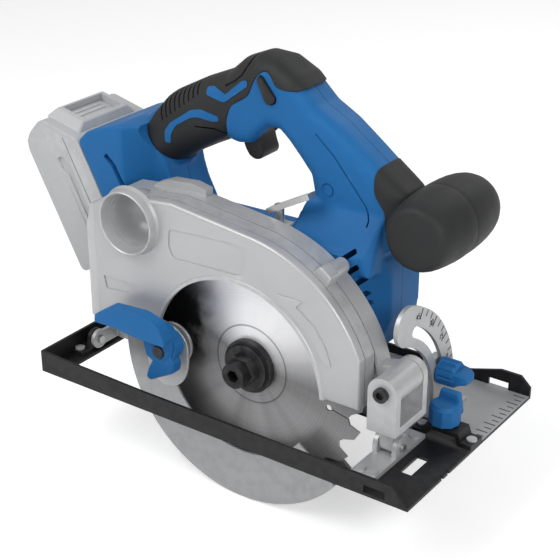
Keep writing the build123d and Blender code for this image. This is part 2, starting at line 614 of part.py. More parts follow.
def housing():
    """Housing in one piece, with its bosses, vents and openings."""
    skin = housing_skin()
    hollow = handle_arch(RUBBER + SHELL) + barrel(SHELL) + front_body(SHELL) + rear_block(SHELL)
    body = skin - (hollow - prism(inner(side(*FINGER_GAP), -SHELL), -60, 60))
    for x, z in HOUSING_SCREWS:
        body += rod_y(x, z, 2.25 * SCREW_R, -60, 60) & skin
    body += rod_y(TRIGGER_X, TRIGGER_Z, 2 * TRUNNION_R, -60, 60) & skin
    body -= gear_room()
    body -= prism(side(*TRIGGER_ROOM), -TRIGGER_HALF - 0.5, TRIGGER_HALF + 0.5)
    body -= rod_y(TRIGGER_X, TRIGGER_Z, TRUNNION_R + RUN, -TRUNNION_HALF - GAP, TRUNNION_HALF + GAP)
    body -= prism(lock_off_shape(GAP), -40, 40)
    for i in range(VENTS):
        low = VENT_Z + i * VENT_PITCH
        body -= block(VENT_X0, VENT_X1, yb(HOUSING_NEAR - 1), yb(HOUSING_NEAR + 12), low, low + VENT_H)
    for x, z in HOUSING_SCREWS:
        body -= rod_y(x, z, SCREW_R, -HANDLE_W / 2 + 5, 40)
        body -= rod_y(x, z, 2 * SCREW_R + 0.2, HANDLE_W / 2 - SUNK, 40)
    return body


def housing_screws():
    """Screws that hold the housing's halves together."""
    group = []
    for x, z in HOUSING_SCREWS:
        head = rod_y(x, z, 2 * SCREW_R, HANDLE_W / 2 - SUNK, HANDLE_W / 2 - SUNK / 2)
        group.append(head + rod_y(x, z, SCREW_R, -HANDLE_W / 2 + 6, HANDLE_W / 2 - SUNK + 1))
    return Compound(children=group)


def grip_layer():
    """Soft layer round the rear of the handle."""
    body = (handle_arch(0) & prism(side(*GRIP_ZONE), -40, 40)) - handle_arch(RUBBER) - rear_block(0)
    body -= prism(side(*TRIGGER_ROOM), -TRIGGER_HALF - 0.5, TRIGGER_HALF + 0.5)
    return body - prism(lock_off_shape(GAP), -40, 40)


def knob():
    """Barrel-shaped front grip across the saw."""
    half = KNOB_L / 2
    profile = make_face([
        Line((0, -half), (KNOB_END_R, -half)),
        ThreePointArc((KNOB_END_R, -half), (KNOB_R, 0), (KNOB_END_R, half)),
        Line((KNOB_END_R, half), (0, half)),
        Line((0, half), (0, -half)),
    ])
    return Pos(KNOB_X, 0, KNOB_Z) * revolve(profile, Axis.Y)


def front_grip():
    """Soft collar on the front of the handle, and the knob."""
    collar = handle_arch(0) & prism(side(*COLLAR_ZONE), -40, 40)
    return collar + knob() - handle_arch(RUBBER) - front_body(0)


def trigger():
    """Trigger with the trunnions that it turns on."""
    body = prism(side(*TRIGGER), -TRIGGER_HALF, TRIGGER_HALF)
    return body + rod_y(TRIGGER_X, TRIGGER_Z, TRUNNION_R, -TRUNNION_HALF, TRUNNION_HALF)


def lock_off_button():
    """Button that slides through the handle from side to side."""
    half = HANDLE_W / 2 + 1.5
    return prism(lock_off_shape(0), -half, half)


def switch_body():
    """Switch between the handle's inner walls, over the trigger."""
    half = HANDLE_W / 2 - RUBBER - SHELL - GAP
    return block(-36, -16, -half, half, 179, 190)


def control_board():
    """Circuit board between the rear block's walls."""
    half = NECK_HALF - SHELL - GAP
    return block(BOARD_X0, BOARD_X1, -half, half, 118, 120)


# Battery


def pack(along, back):
    """Side-view point of a point in the battery's slide frame."""
    tilt = radians(PACK_TILT)
    return (PACK_X - along * sin(tilt) - back * cos(tilt), PACK_Z + along * cos(tilt) - back * sin(tilt))


def pack_side(*points):
    """Side-view outline from points in the battery's slide frame."""
    return side(*[pack(*point) for point in points])


def pack_shell(inset):
    """Outside of the battery, or its hollow."""
    face, low, far = GAP + inset, PACK_LOW + inset, PACK_T - inset
    outline = pack_side((low, face), (low, far), (48 - inset, far), (55 - inset, far - 5),
                        (61 - inset, 25), (39 - inset, face))
    half = PACK_W / 2 - inset
    return prism(outline, -half, half)


def rail(grow):
    """T-shaped rail on the housing that the battery slides on, or its groove."""
    low = 2 * RAIL_LOW if grow else RAIL_LOW
    top, step = RAIL_TOP + grow, RAIL_T / 2
    neck = pack_side((low, 0), (low, step + grow), (top, step + grow), (top, 0))
    lips = pack_side((low, step - grow), (low, RAIL_T + grow), (top, RAIL_T + grow), (top, step - grow))
    half = RAIL_W / 2 + grow
    return prism(neck, RAIL_LIP - half, half - RAIL_LIP) + prism(lips, -half, half)


def pack_front(top):
    """Space of the battery's cover, in front of the split."""
    points = ((-60, -5), (-60, PACK_SPLIT), (top, PACK_SPLIT), (top, -5))
    return prism(pack_side(*points), -50, 50)


def button_shape(grow):
    """Release button on the battery's sloping top, or its pocket."""
    low, high = pack(*BUTTON_LOW), pack(*BUTTON_HIGH)
    ux, uz = high[0] - low[0], high[1] - low[1]
    size = hypot(ux, uz)
    ux, uz = ux / size, uz / size
    nx, nz = (-uz, ux) if ux > 0 else (uz, -ux)
    sink = BUTTON_DEPTH + (BUTTON_TRAVEL + grow if grow else 0)
    points = []
    for (x, z), along, up in ((low, -grow, BUTTON_LIFT), (high, grow, BUTTON_LIFT), (high, grow, -sink),
                              (low, -grow, -sink)):
        points.append((x + ux * along + nx * up, z + uz * along + nz * up))
    half = BUTTON_HALF + grow
    return prism(side(*points), -half, half)


def battery_parts():
    """Case and cover of the battery."""
    hollow = pack_shell(SHELL) - pack_front(60)
    body = pack_shell(0) - hollow - rail(GAP) - button_shape(GAP)
    front = pack_front(80)
    return body - front, body & front


def battery_cells():
    """Row of cells across the battery."""
    group = []
    for i in range(CELLS):
        x, z = pack(PACK_LOW + 12 + i * CELL_PITCH, 26)
        group.append(rod_y(x, z, CELL_R, -CELL_L / 2, CELL_L / 2))
    return Compound(children=group)


# Base


def base_plate():
    """Pressed plate with lips, the opening for the blade and windows for a fence bar."""
    near, far = yb(BASE_NEAR), yb(BASE_FAR)
    near_lip = side((BASE_REAR, 0), (BASE_FRONT, 0), (BASE_FRONT, 1.5), (BASE_FRONT - 11, LIP_NEAR),
                    (BASE_REAR + 88, LIP_NEAR), (BASE_REAR + 20, LIP_REAR - 1), (BASE_REAR, LIP_REAR))
    far_lip = side((BASE_REAR, 0), (BASE_FRONT, 0), (BASE_FRONT, LIP_FAR), (BASE_FRONT - 7, LIP_CORNER),
                   (BASE_FRONT - 21, LIP_CORNER), (BASE_FRONT - 43, LIP_FAR), (BASE_REAR + 28, LIP_FAR),
                   (BASE_REAR, LIP_REAR))
    body = block(BASE_REAR, BASE_FRONT, near, far, 0, PLATE_T)
    body += prism(near_lip, near, near + PLATE_T) + prism(far_lip, far - PLATE_T, far)
    body += block(BASE_REAR, BASE_REAR + PLATE_T, near, far, 0, LIP_REAR)
    body -= block(GUARD_TAIL_X - 2, GUARD_R - 3, yb(-39), yb(28), -1, PLATE_T + 1)
    body -= block(-POT_R - 6, POT_R + 8, yb(0), yb(POT_FAR + COVER_T), -1, PLATE_T + 1)
    body -= block(FENCE_X0 + 6, FENCE_X1 - 0.5, yb(-14.5), yb(6), -1, PLATE_T + 1)
    for y in (-5.5, 1.5):
        body -= block(BASE_FRONT - 2, BASE_FRONT + 1, yb(y - 1), yb(y + 1), -1, PLATE_T + 1)
    body -= block(FENCE_X0, FENCE_X1, near - 1, far + 1, PLATE_T, PLATE_T + FENCE_H)
    return with_rivet_holes(body)


def base_rivets():
    """Rivets that hold the foot, the ear, the quadrant and the bridge on the plate."""
    group = []
    for x, y in RIVETS:
        top = PLATE_T + (FOOT_T if x > 0 else EAR_T)
        head = rod_z(x, yb(y), 1.6 * SCREW_R, top, top + 1)
        group.append(head + rod_z(x, yb(y), SCREW_R, 0, top))
    return Compound(children=group)


def with_rivet_holes(body):
    """A pressed part with the rivets' holes through it."""
    for x, y in RIVETS:
        body -= rod_z(x, yb(y), SCREW_R, -1, 12)
    return body


def ear(x0, x1):
    """Upright lug round the bevel axis."""
    stem = block(x0, x1, yb(TILT_Y - EAR_R), yb(TILT_Y + EAR_R), PLATE_T, TILT_Z)
    return stem + rod_x(yb(TILT_Y), TILT_Z, EAR_R, x0, x1)


def front_foot():
    """Foot with two lugs that carries the front of the saw."""
    body = block(FOOT_X0, FOOT_X1, yb(FOOT_NEAR), yb(FOOT_FAR), PLATE_T, PLATE_T + FOOT_T)
    body += ear(FOOT_X0, FOOT_X0 + EAR_T) + ear(FOOT_X1 - EAR_T, FOOT_X1)
    return with_rivet_holes(body - rod_x(yb(TILT_Y), TILT_Z, PIN_R, FOOT_X0 - 1, FOOT_X1 + 1))


def rear_ear():
    """Lug at the rear end of the bevel axis."""
    body = block(BASE_REAR + PLATE_T, EAR_X + EAR_T, yb(-18), yb(12), PLATE_T, PLATE_T + EAR_T)
    body += ear(EAR_X, EAR_X + EAR_T)
    return with_rivet_holes(body - rod_x(yb(TILT_Y), TILT_Z, PIN_R, EAR_X - 1, EAR_X + EAR_T + 1))


def front_pin():
    """Bevel pin in the front foot."""
    return rod_x(yb(TILT_Y), TILT_Z, PIN_R, FOOT_X0 - 2, FOOT_X1 + 2)


def rear_pin():
    """Bevel pin in the rear ear."""
    return rod_x(yb(TILT_Y), TILT_Z, PIN_R, EAR_X - 2, EAR_X + EAR_T + 5)


def bevel_quadrant():
    """Slotted plate that guides and holds the bevel tilt."""
    cy = yb(TILT_Y)
    y0, y1 = cy + QUAD_IN, cy + QUAD_OUT
    plate = sector(cy, TILT_Z, QUAD_IN, QUAD_OUT, 10, QUAD_END)
    plate += disc(*polar(cy, TILT_Z, (QUAD_IN + QUAD_OUT) / 2, QUAD_END), (QUAD_OUT - QUAD_IN) / 2)
    plate += Polygon((y0, PLATE_T), (y1 - 1, PLATE_T), (y1 - 1, TILT_Z + 18), (y0 - 1, TILT_Z + 16), align=None)
    plate -= arc_slot(cy, TILT_Z, QUAD_SLOT_R, QUAD_SLOT_W, BOLT_ANGLE - 1, BOLT_ANGLE + BEVEL_RANGE + 1)
    foot = block(QUAD_X, FOOT_X1 - 1, y0, y1 - 1, PLATE_T, PLATE_T + FOOT_T)
    return with_rivet_holes(slab(plate, QUAD_X, QUAD_X + QUAD_T) + foot)


def fence_bridge():
    """Bent strap over the fence channel."""
    z0, z1 = PLATE_T, BRIDGE_H
    foot = z0 + FOOT_T
    outline = side((BRIDGE_X0 - 7, z0), (BRIDGE_X0 + 2, z0), (BRIDGE_X0 + 4, z1 - 2), (BRIDGE_X1 - 4, z1 - 2),
                   (BRIDGE_X1 - 2, z0), (BRIDGE_X1 + 7, z0), (BRIDGE_X1 + 7, foot), (BRIDGE_X1, foot),
                   (BRIDGE_X1 - 2, z1 + 1), (BRIDGE_X0 + 2, z1 + 1), (BRIDGE_X0, foot), (BRIDGE_X0 - 7, foot))
    body = prism(outline, yb(BRIDGE_Y0), yb(BRIDGE_Y1))
    body -= rod_z(FENCE_BOLT_X, yb(FENCE_BOLT_Y), BOLT_R + RUN, z1 - 4, z1 + 4)
    return with_rivet_holes(body)


def fence_knob():
    """Winged knob that clamps a fence bar."""
    x, y = FENCE_BOLT_X, yb(FENCE_BOLT_Y)
    body = rod_z(x, y, 8, BRIDGE_H + 1 + GAP, FENCE_BOLT_TOP + 3)
    body += block(x - 8.5, x + 8.5, y - 4, y + 4, FENCE_BOLT_TOP - 4, FENCE_BOLT_TOP + 10)
    return body - rod_z(x, y, BOLT_R, 0, FENCE_BOLT_TOP)


def fence_bolt():
    """Bolt of the fence knob, down to the channel."""
    return rod_z(FENCE_BOLT_X, yb(FENCE_BOLT_Y), BOLT_R, PLATE_T + FENCE_H, FENCE_BOLT_TOP)


# Tilting frame


def bevel_bolt_place():
    """Front-view point of the bevel bolt with the blade upright."""
    return polar(yb(TILT_Y), TILT_Z, QUAD_SLOT_R, BOLT_ANGLE)


def front_bracket():
    """Casting between the bevel axis and the depth hinge, with the arm that carries the bevel bolt."""
    body = block(HINGE_X - CHEEK_R, HINGE_X + CHEEK_R, yb(BRACKET_NEAR), yb(BRACKET_FAR), BRACKET_Z, HINGE_Z)
    body += rod_y(HINGE_X, HINGE_Z, CHEEK_R, yb(BRACKET_NEAR), yb(BRACKET_FAR))
    body -= block(HINGE_X - 30, HINGE_X + 30, yb(BRACKET_NEAR + CHEEK_T), yb(BRACKET_FAR - CHEEK_T),
                  BRACKET_Z + 5, REACH)
    x0, x1 = FOOT_X0 + EAR_T + GAP, FOOT_X1 - EAR_T - GAP
    body += block(x0, x1, yb(TILT_Y - 4.5), yb(TILT_Y + 4.5), TILT_Z, BRACKET_Z + 1)
    body += rod_x(yb(TILT_Y), TILT_Z, 4.5, x0, x1)
    by, bz = bevel_bolt_place()
    face, reach = QUAD_X - GAP, yb(GUARD_FAR + GAP)
    body += block(face - 5, face, reach, by + 7, BRACKET_Z, bz + 7)
    body += block(face - 5, HINGE_X, reach, yb(BRACKET_FAR), BRACKET_Z, bz + 7)
    body -= rod_x(yb(TILT_Y), TILT_Z, PIN_R + RUN, x0 - 1, x1 + 1)
    body -= rod_y(HINGE_X, HINGE_Z, HINGE_R, yb(BRACKET_NEAR - 1), yb(BRACKET_FAR + 1))
    return body - rod_x(by, bz, BOLT_R, face - 16, QUAD_X)


def hinge_pin():
    """Pin of the depth hinge."""
    return rod_y(HINGE_X, HINGE_Z, HINGE_R, yb(BRACKET_NEAR), yb(BRACKET_FAR + 2))


def hinge_screw():
    """Socket head over the end of the hinge pin."""
    head = rod_y(HINGE_X, HINGE_Z, 1.5 * HINGE_R, yb(BRACKET_NEAR - 3), yb(BRACKET_NEAR))
    socket = Pos(HINGE_X, HINGE_Z) * RegularPolygon(2.5, 6)
    return head - prism(socket, yb(BRACKET_NEAR - 4), yb(BRACKET_NEAR - 1))


def bevel_bolt():
    """Bolt that slides in the quadrant."""
    by, bz = bevel_bolt_place()
    back = QUAD_X - GAP - 5
    return rod_x(by, bz, BOLT_R, back, QUAD_X + 16) + rod_x(by, bz, 2 * BOLT_R, back - 3, back)


def bevel_knob():
    """Winged knob that clamps the bevel."""
    by, bz = bevel_bolt_place()
    x0 = QUAD_X + QUAD_T + GAP
    body = rod_x(by, bz, 8, x0, x0 + 12) + block(x0 + 6, x0 + 21, by - 10, by + 10, bz - 4, bz + 4)
    return body - rod_x(by, bz, BOLT_R + RUN, x0 - 1, QUAD_X + 17)


def depth_bracket():
    """Slotted arc that guides and holds the depth swing, on a tab round the bevel axis."""
    y0, y1 = yb(ARC_Y0), yb(ARC_Y0 + ARC_T)
    top, x0 = 180 - DEPTH_RANGE - 3, EAR_X + EAR_T + GAP
    z0, z1 = TILT_Z - 5, TILT_Z + 5
    plate = sector(HINGE_X, HINGE_Z, ARC_R - ARC_W / 2, ARC_R + ARC_W / 2, top, 180 + 18)
    plate += disc(*polar(HINGE_X, HINGE_Z, ARC_R, top), ARC_W / 2)
    plate += side((x0 + 3, z0), (DEPTH_X + 12, z0), (DEPTH_X + 12, z1), (x0 + 3, z1))
    plate -= arc_slot(HINGE_X, HINGE_Z, ARC_R, 2 * BOLT_R + 1, 180 - DEPTH_RANGE - 0.3, 180.3)
    body = prism(plate, y0, y1)
    body += rod_x(yb(TILT_Y), TILT_Z, EAR_R, x0, x0 + 3) + block(x0, x0 + 3, yb(TILT_Y), y1, z0, z1)
    body += block(x0, x0 + 7, y0, y1, z0, z1)
    return body - rod_x(yb(TILT_Y), TILT_Z, PIN_R + RUN, x0 - 1, x0 + 4)


def depth_bolt():
    """Bolt on the gear case that slides in the arc."""
    return rod_y(DEPTH_X, HINGE_Z, BOLT_R, yb(GUARD_FAR - GUARD_WALL), yb(28))


def depth_lever():
    """Lever that clamps the depth."""
    y0 = yb(ARC_Y0 + ARC_T + GAP)
    arm = side((DEPTH_X, HINGE_Z + 6), (DEPTH_X - 48, HINGE_Z + 4), (DEPTH_X - 48, HINGE_Z - 5),
               (DEPTH_X, HINGE_Z - 6))
    body = rod_y(DEPTH_X, HINGE_Z, 8, y0, y0 + 9) + prism(arm, y0 + 1, y0 + 7)
    return body - rod_y(DEPTH_X, HINGE_Z, BOLT_R + RUN, y0 - 1, y0 + 10)


def main():
    """Makes every piece and writes it."""
    housing_right, housing_left = halves(housing())
    grip_right, grip_left = halves(grip_layer())
    front_right, front_left = halves(front_grip())
    case, cover = battery_parts()
    nodes = {
        "base_plate": base_plate(),
        "front_foot": front_foot(),
        "rear_ear": rear_ear(),
        "front_pin": front_pin(),
        "rear_pin": rear_pin(),
        "bevel_quadrant": bevel_quadrant(),
        "fence_bridge": fence_bridge(),
        "base_rivets": base_rivets(),
        "fence_knob": fence_knob(),
        "fence_bolt": fence_bolt(),
        "front_bracket": front_bracket(),
        "hinge_pin": hinge_pin(),
        "hinge_screw": hinge_screw(),
        "bevel_bolt": bevel_bolt(),
        "bevel_knob": bevel_knob(),
        "depth_bracket": depth_bracket(),
        "depth_bolt": depth_bolt(),
        "depth_lever": depth_lever(),
        "gear_case": gear_case(),
        "guard_cover": guard_cover(),
        "guard_screws": guard_screws(),
        "spindle_lock": spindle_lock(),
        "lower_guard": lower_guard(),
        "guard_lever": guard_lever(),
        "lever_screw": lever_screw(),
        "guard_spring": guard_spring(),
        "blade": blade(),
        "spindle": spindle(),
        "inner_flange": inner_flange(),
        "outer_flange": outer_flange(),
        "blade_bolt": blade_bolt(),
        "driven_gear": driven_gear(),
        "spindle_bearing_near": bearing(0, ARBOR_Z, SPINDLE_R, BEARING_R, 7, 15),
        "spindle_bearing_far": bearing(0, ARBOR_Z, NOSE_R, FAR_BEARING_R, POT_FAR, 40),
        "motor_bearing_near": bearing(MOTOR_X, MOTOR_Z, SHAFT_R, MOTOR_SEAT, POT_FAR - 2, 39),
        "motor_bearing_far": bearing(MOTOR_X, MOTOR_Z, SHAFT_R, MOTOR_SEAT, END_Y0, END_Y1),
        "gear_cover": gear_cover(),
        "armature": armature(),
        "pinion": pinion(),
        "fan": fan(),
        "commutator": commutator(),
        "motor_can": motor_can(),
        "brush_holders": brush_holders(),
        "motor_end": motor_end(),
        "housing_right": housing_right,
        "housing_left": housing_left,
        "housing_screws": housing_screws(),
        "grip_right": grip_right,
        "grip_left": grip_left,
        "front_grip_right": front_right,
        "front_grip_left": front_left,
        "trigger": trigger(),
        "lock_off_button": lock_off_button(),
        "switch_body": switch_body(),
        "control_board": control_board(),
        "terminal_rail": rail(0),
        "battery_case": case,
        "battery_cover": cover,
        "battery_button": button_shape(0),
        "battery_cells": battery_cells(),
    }
    for name, shape in nodes.items():
        save(name, shape)
    print(len(nodes), "nodes")


main()
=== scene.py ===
import json
from math import atan2, copysign, cos, pi, radians, sin, sqrt

import bmesh
import bpy
from mathutils import Matrix, Vector

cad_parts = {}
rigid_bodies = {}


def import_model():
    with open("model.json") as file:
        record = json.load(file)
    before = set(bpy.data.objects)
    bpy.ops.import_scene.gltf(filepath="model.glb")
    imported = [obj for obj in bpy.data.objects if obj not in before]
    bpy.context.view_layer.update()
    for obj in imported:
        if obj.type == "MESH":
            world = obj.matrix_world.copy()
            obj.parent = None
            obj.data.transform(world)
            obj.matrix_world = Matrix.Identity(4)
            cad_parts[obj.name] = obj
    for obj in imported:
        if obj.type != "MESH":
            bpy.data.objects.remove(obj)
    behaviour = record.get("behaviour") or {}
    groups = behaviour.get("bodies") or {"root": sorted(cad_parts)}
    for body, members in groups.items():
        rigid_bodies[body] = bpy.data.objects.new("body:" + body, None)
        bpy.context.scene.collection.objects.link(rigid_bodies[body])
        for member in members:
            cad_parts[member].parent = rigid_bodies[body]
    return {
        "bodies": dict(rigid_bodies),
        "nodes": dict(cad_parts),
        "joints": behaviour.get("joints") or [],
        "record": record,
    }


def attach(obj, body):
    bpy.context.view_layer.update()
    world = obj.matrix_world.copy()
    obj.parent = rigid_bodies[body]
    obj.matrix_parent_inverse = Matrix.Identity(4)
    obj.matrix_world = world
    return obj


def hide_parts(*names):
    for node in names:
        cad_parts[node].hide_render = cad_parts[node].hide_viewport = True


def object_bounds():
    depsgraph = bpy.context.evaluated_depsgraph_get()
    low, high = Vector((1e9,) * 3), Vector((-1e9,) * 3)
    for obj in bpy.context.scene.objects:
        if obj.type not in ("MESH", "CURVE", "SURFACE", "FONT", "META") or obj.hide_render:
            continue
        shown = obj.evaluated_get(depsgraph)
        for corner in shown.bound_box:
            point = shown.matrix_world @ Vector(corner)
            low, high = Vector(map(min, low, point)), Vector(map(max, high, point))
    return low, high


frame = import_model()
CAD_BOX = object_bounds()
NODES = frame["nodes"]
NODE_SLOTS = {part["node"]: part["material_slot"] for part in frame["record"]["subparts"]}

bl_info = {
    "name": "Cordless circular saw",
    "version": (1, 0, 0),
    "blender": (4, 5, 0),
    "location": "3D View > Sidebar > Saw",
    "description": "Dresses the packed circular saw with moulded shells, castings and their finishes",
    "category": "Object",
}

# Side views are drawn in X and Z. Sizes are in millimetres, and Y is 0 in the parting plane of the housing.
MM = 0.001
BLADE_Y = -50.0
ARBOR = (0.0, 29.0)
MOTOR = (17.0, 49.33)
KNOB = (100.5, 131.5)
GUARD_R = 95.0
GUARD_FLOOR = 33.0
GUARD_NEAR, GUARD_FAR = BLADE_Y - 17.0, BLADE_Y - 0.8
GUARD_NOSE = 88.0
GUARD_WALL = 2.5
WINDOW_R = 62.0
PORT = (-78.5, 111.7)
PORT_R = 17.5
BODY_NEAR, BODY_FAR = -32.5, 22.0
HANDLE_HALF = 17.5
PACK_AT = (-132.0, 106.0)
PACK_HALF = 36.0
PACK_TILT = radians(28.0)
TRIGGER_HALF, TRIGGER_GAP = 9.0, 0.7
LOCK_OFF_HALF, LOCK_OFF_ROOM = 19.6, 50.0
SCREW_R, SCREW_SEAT = 4.2, 14.6
QUAD_FACE = 98.8
TILT = (-53.0, 10.0)
BEVEL_KNOB = (99.1, 10.6, 29.4)
FENCE_KNOB = (117.0, -15.0, 10.8)

# Cutters reach through the whole saw, or stand proud of the face that they cut.
THROUGH = 60.0
TALL = 140.0
PROUD = 4.0

# Edges that turn more than this are rounded or left sharp. The steps are those of a rounded edge or corner.
EDGE_ANGLE = 32.0
EDGE_STEPS = 2
CORNER_STEPS = 5

# Directions of the blade's painted highlight and painted dark reflection, its turned line, and the radii
# between which the painted dark reflection begins.
PAINTED_GLINT_AT, PAINTED_DARK_AT = 76.0, 158.0
BLADE_LINE_R = 26.2
PAINTED_DARK_FROM, PAINTED_DARK_TO = 38.0, 56.0

# Top and underside of the handle at each station along it, half its width there, and how square it is.
HANDLE_STATIONS = (
    ((-119, 153), (-98, 112), 19.0, 2.6),
    ((-107, 163), (-86, 129), 17.0, 2.5),
    ((-90, 174.5), (-74, 140), 16.6, 2.5),
    ((-67, 187), (-60, 147.5), 16.4, 2.5),
    ((-46, 196), (-45, 154.5), 17.2, 3.2),
    ((-36, 205), (-36, 154.5), 17.6, 5.0),
    ((-24, 210.5), (-27, 156), 17.6, 5.0),
    ((-9, 210), (-14, 168.5), 17.5, 4.0),
    ((5, 203), (-5, 169), 17.5, 4.0),
    ((20, 188.5), (2, 163.5), 17.5, 4.2),
    ((36, 180), (9, 155.5), 17.5, 4.2),
    ((52, 168.5), (17, 146), 17.5, 4.2),
    ((67, 157.5), (19, 134), 17.5, 4.2),
    ((82, 147), (18.5, 120), 17.5, 4.2),
    ((89, 131), (15, 110), 17.5, 4.2),
    ((81, 112), (5, 98), 17.5, 4.2),
)
GRIP_STATIONS = (
    ((-116, 159), (-96, 121), 20.4, 2.3),
    ((-105, 167), (-85, 131.5), 20.6, 2.3),
    ((-90, 177.5), (-73.5, 139.5), 19.8, 2.3),
    ((-67, 189.5), (-60, 146.8), 18.4, 2.3),
    ((-46, 198.5), (-45, 154.2), 17.8, 2.3),
    ((-35, 208), (-34.5, 157), 18.2, 2.5),
    ((-22, 213.3), (-25, 160.5), 18.6, 2.8),
    ((-8, 212), (-14, 168), 18.6, 3.2),
    ((6, 204.5), (-5, 169.5), 18.5, 3.4),
    ((20, 191), (2, 165), 18.4, 3.6),
)

# Outlines in the side view. The body's corner is in plan, and the shoulder's points are in space.
LOWER_BAR = ((-95, 84), (-24, 86), (40, 94), (40, 106), (10, 102.5), (-76, 100.5), (-92, 104))
FRONT_BODY = (
    (-24, 90), (0, 98), (16, 108), (66, 111.5), (73, 107), (75.5, 96), (75.5, 64), (71, 52), (64, 39),
    (54, 30), (40, 39.3), (17, 49.3), (-20, 70),
)
BODY_CORNER = ((59, -34), (59, -40), (95, -40), (95, -12), (76, -12))
SHOULDER = (
    (8, -31, 98), (71, -31, 98), (10, -31, 106), (66, -31, 109), (18, -17.2, 133), (72, -17.2, 134),
    (18, 17.2, 133), (72, 17.2, 134), (8, 20, 98), (73, 20, 98), (10, 20, 108), (71, 20, 110),
)
REAR_BLOCK = (
    (-149.8, 139.6), (-141.8, 147.6), (-116, 157), (-100, 156), (-90, 146), (-88, 126), (-84, 114),
    (-77, 101), (-77, 90), (-92, 84), (-112.3, 68.9),
)
BLOCK_TAPER = (-112.0, -97.0)
BLOCK_NECK = 19.4
BLOCK_SLOT = ((-126.4, 135), (-119.5, 129.3), (-112.2, 116.5))
GRIP_ZONE = (
    (-60, 230), (-98, 190), (-95, 171), (-101.5, 161), (-105, 154), (-102, 146), (-97, 140), (-85, 130),
    (-66, 136), (-46, 148), (-42, 161), (-42, 170), (-38.5, 179.5), (-25, 188), (-20, 200),
    (-14.5, 205.5), (-9, 203), (-5, 196.5), (8, 196), (22, 200), (40, 230),
)
COLLAR_ZONE = (
    (69, 172), (63, 158), (64.5, 145.5), (72, 136), (73.5, 121.5), (82.5, 117.5), (110, 117.5),
    (110, 172),
)
GRIP_LINES = (
    ((-43.5, 190.8), (-36, 195), (-30.4, 200), (-26.9, 207.6), (-26, 212)),
    ((-66, 161.2), (-62, 161.4), (-52.1, 161.9), (-39, 157)),
)
STYLE_LINE = ((23.5, 174.2), (36.9, 162.9), (49, 148.8), (58.9, 137.4), (62.6, 129.5), (62.1, 122))
VENT_LINES = (
    ((40, 96.5), (60.5, 113.5)),
    ((42, 87), (63.5, 105)),
    ((44, 77.5), (66, 96.5)),
    ((46, 69), (67, 87)),
    ((50, 65.5), (68.5, 80.5)),
)
CHEVRONS = (
    ((-58.5, 187.2), (-53.2, 188.7), (-42.3, 185.9), (-30, 196.5), (-25.7, 197.9), (-25, 194.4),
     (-41.7, 181.8), (-44.6, 180.9), (-57.8, 183)),
    ((-88.8, 147.1), (-88.5, 154.8), (-84.3, 160.6), (-68.6, 171.5), (-61.1, 173.3), (-47.8, 170.9),
     (-47.9, 167.8), (-51.6, 166.9), (-63.5, 167.9), (-68.8, 166.5), (-79.8, 159.7), (-83.9, 153.2),
     (-84.9, 146.6)),
)
GUARD_TAIL = ((-47, 130.4), (-94, 126), (-113, 115), (-122, 97))
LEVER_AT = (-51.0, 34.0)
LEVER_ARM = ((-72, 49.4), (-48, 45.5), (-39, 36.5), (-40.5, 15), (-47, 4), (-62, 0), (-73, 12))
LEVER_BAR = (
    (-97, 44.5), (-96.5, 50), (-84, 58.3), (-59, 60), (-47, 57), (-43, 52.5), (-40, 46), (-40, 43.2),
    (-64, 43.2), (-81, 45),
)
LEVER_HOOK = (
    (-41, 46), (-40.5, 38), (-42.5, 31.5), (-48, 26), (-55, 24.5), (-62, 28), (-64, 35), (-66, 43.5),
    (-60, 52), (-46, 52),
)
LEVER_TAB = ((-63, 12.6), (-60, 10.6), (-41, 21), (-40, 27), (-43.5, 35), (-55.5, 29), (-61, 19))
TRIGGER = (
    (-37, 172), (-36.5, 160), (-34.5, 152), (-31, 146.8), (-26.5, 145), (-22, 146.4), (-20.5, 150),
    (-22.5, 155), (-24, 161), (-22.5, 167), (-18, 174), (-28, 176),
)
TRIGGER_ROOM = ((-48, 176), (-48, 142), (-10, 142), (-8, 176), (-26, 181))
LOCK_OFF = (
    (-16.9, 203), (-13.8, 201.8), (-4.2, 190.9), (-4.9, 187.3), (-8.7, 185.2), (-12, 187.4),
    (-18.2, 200.8),
)

# Near and far Y of the plates that make the lower guard's lever.
BAR_FACES = (-86.0, -77.0)
HOOK_FACES = (-78.5, -70.0)
TAB_FACES = (-78.1, -69.3)
ARM_FACES = (-64.2, -62.5)

# Round bodies, as radius and distance along their axis.
KNOB_PROFILE = (
    (0, -34.6), (13, -34.6), (17.4, -33.8), (20, -31), (21.6, -24), (23, -11), (23.3, -1.2),
    (22.7, -0.3), (22.7, 0.3), (23.3, 1.2), (23, 16), (21.6, 28), (18.5, 37.5), (13, 42.4), (6, 43.8),
    (0, 43.8),
)
BARREL_PROFILE = ((0, -13), (41, -13), (41, 44), (39.5, 48.5), (35, 51), (0, 51))
THROAT_PROFILE = (
    (0, 21), (10, 19.5), (15, 14.5), (16.6, 8), (17.1, 4.2), (18.8, 4.2), (18.4, 8), (16.4, 15.5),
    (11, 21), (0, 22.8),
)
LEVER_NECK = ((0, -76.6), (10.2, -76.6), (10.2, -68.6), (9.4, -67.6), (0, -67.6))
BEVEL_BARREL = ((0, 0), (7.8, 0), (8.6, 0.8), (8.6, 11), (7.2, 13), (0, 13.4))
FENCE_STEM = ((0, 0), (8.2, 0), (9.8, 1), (9.8, 11.4), (8, 13.6), (0, 14.4))


def colour_setting(name, description, default):
    """A colour for the panel."""
    return bpy.props.FloatVectorProperty(
        name=name, description=description, subtype="COLOR", default=default, min=0.0, max=1.0)


def power_setting(name, description, default):
    """A lamp's power for the panel."""
    return bpy.props.FloatProperty(
        name=name, description=description, subtype="POWER", unit="POWER", default=default)


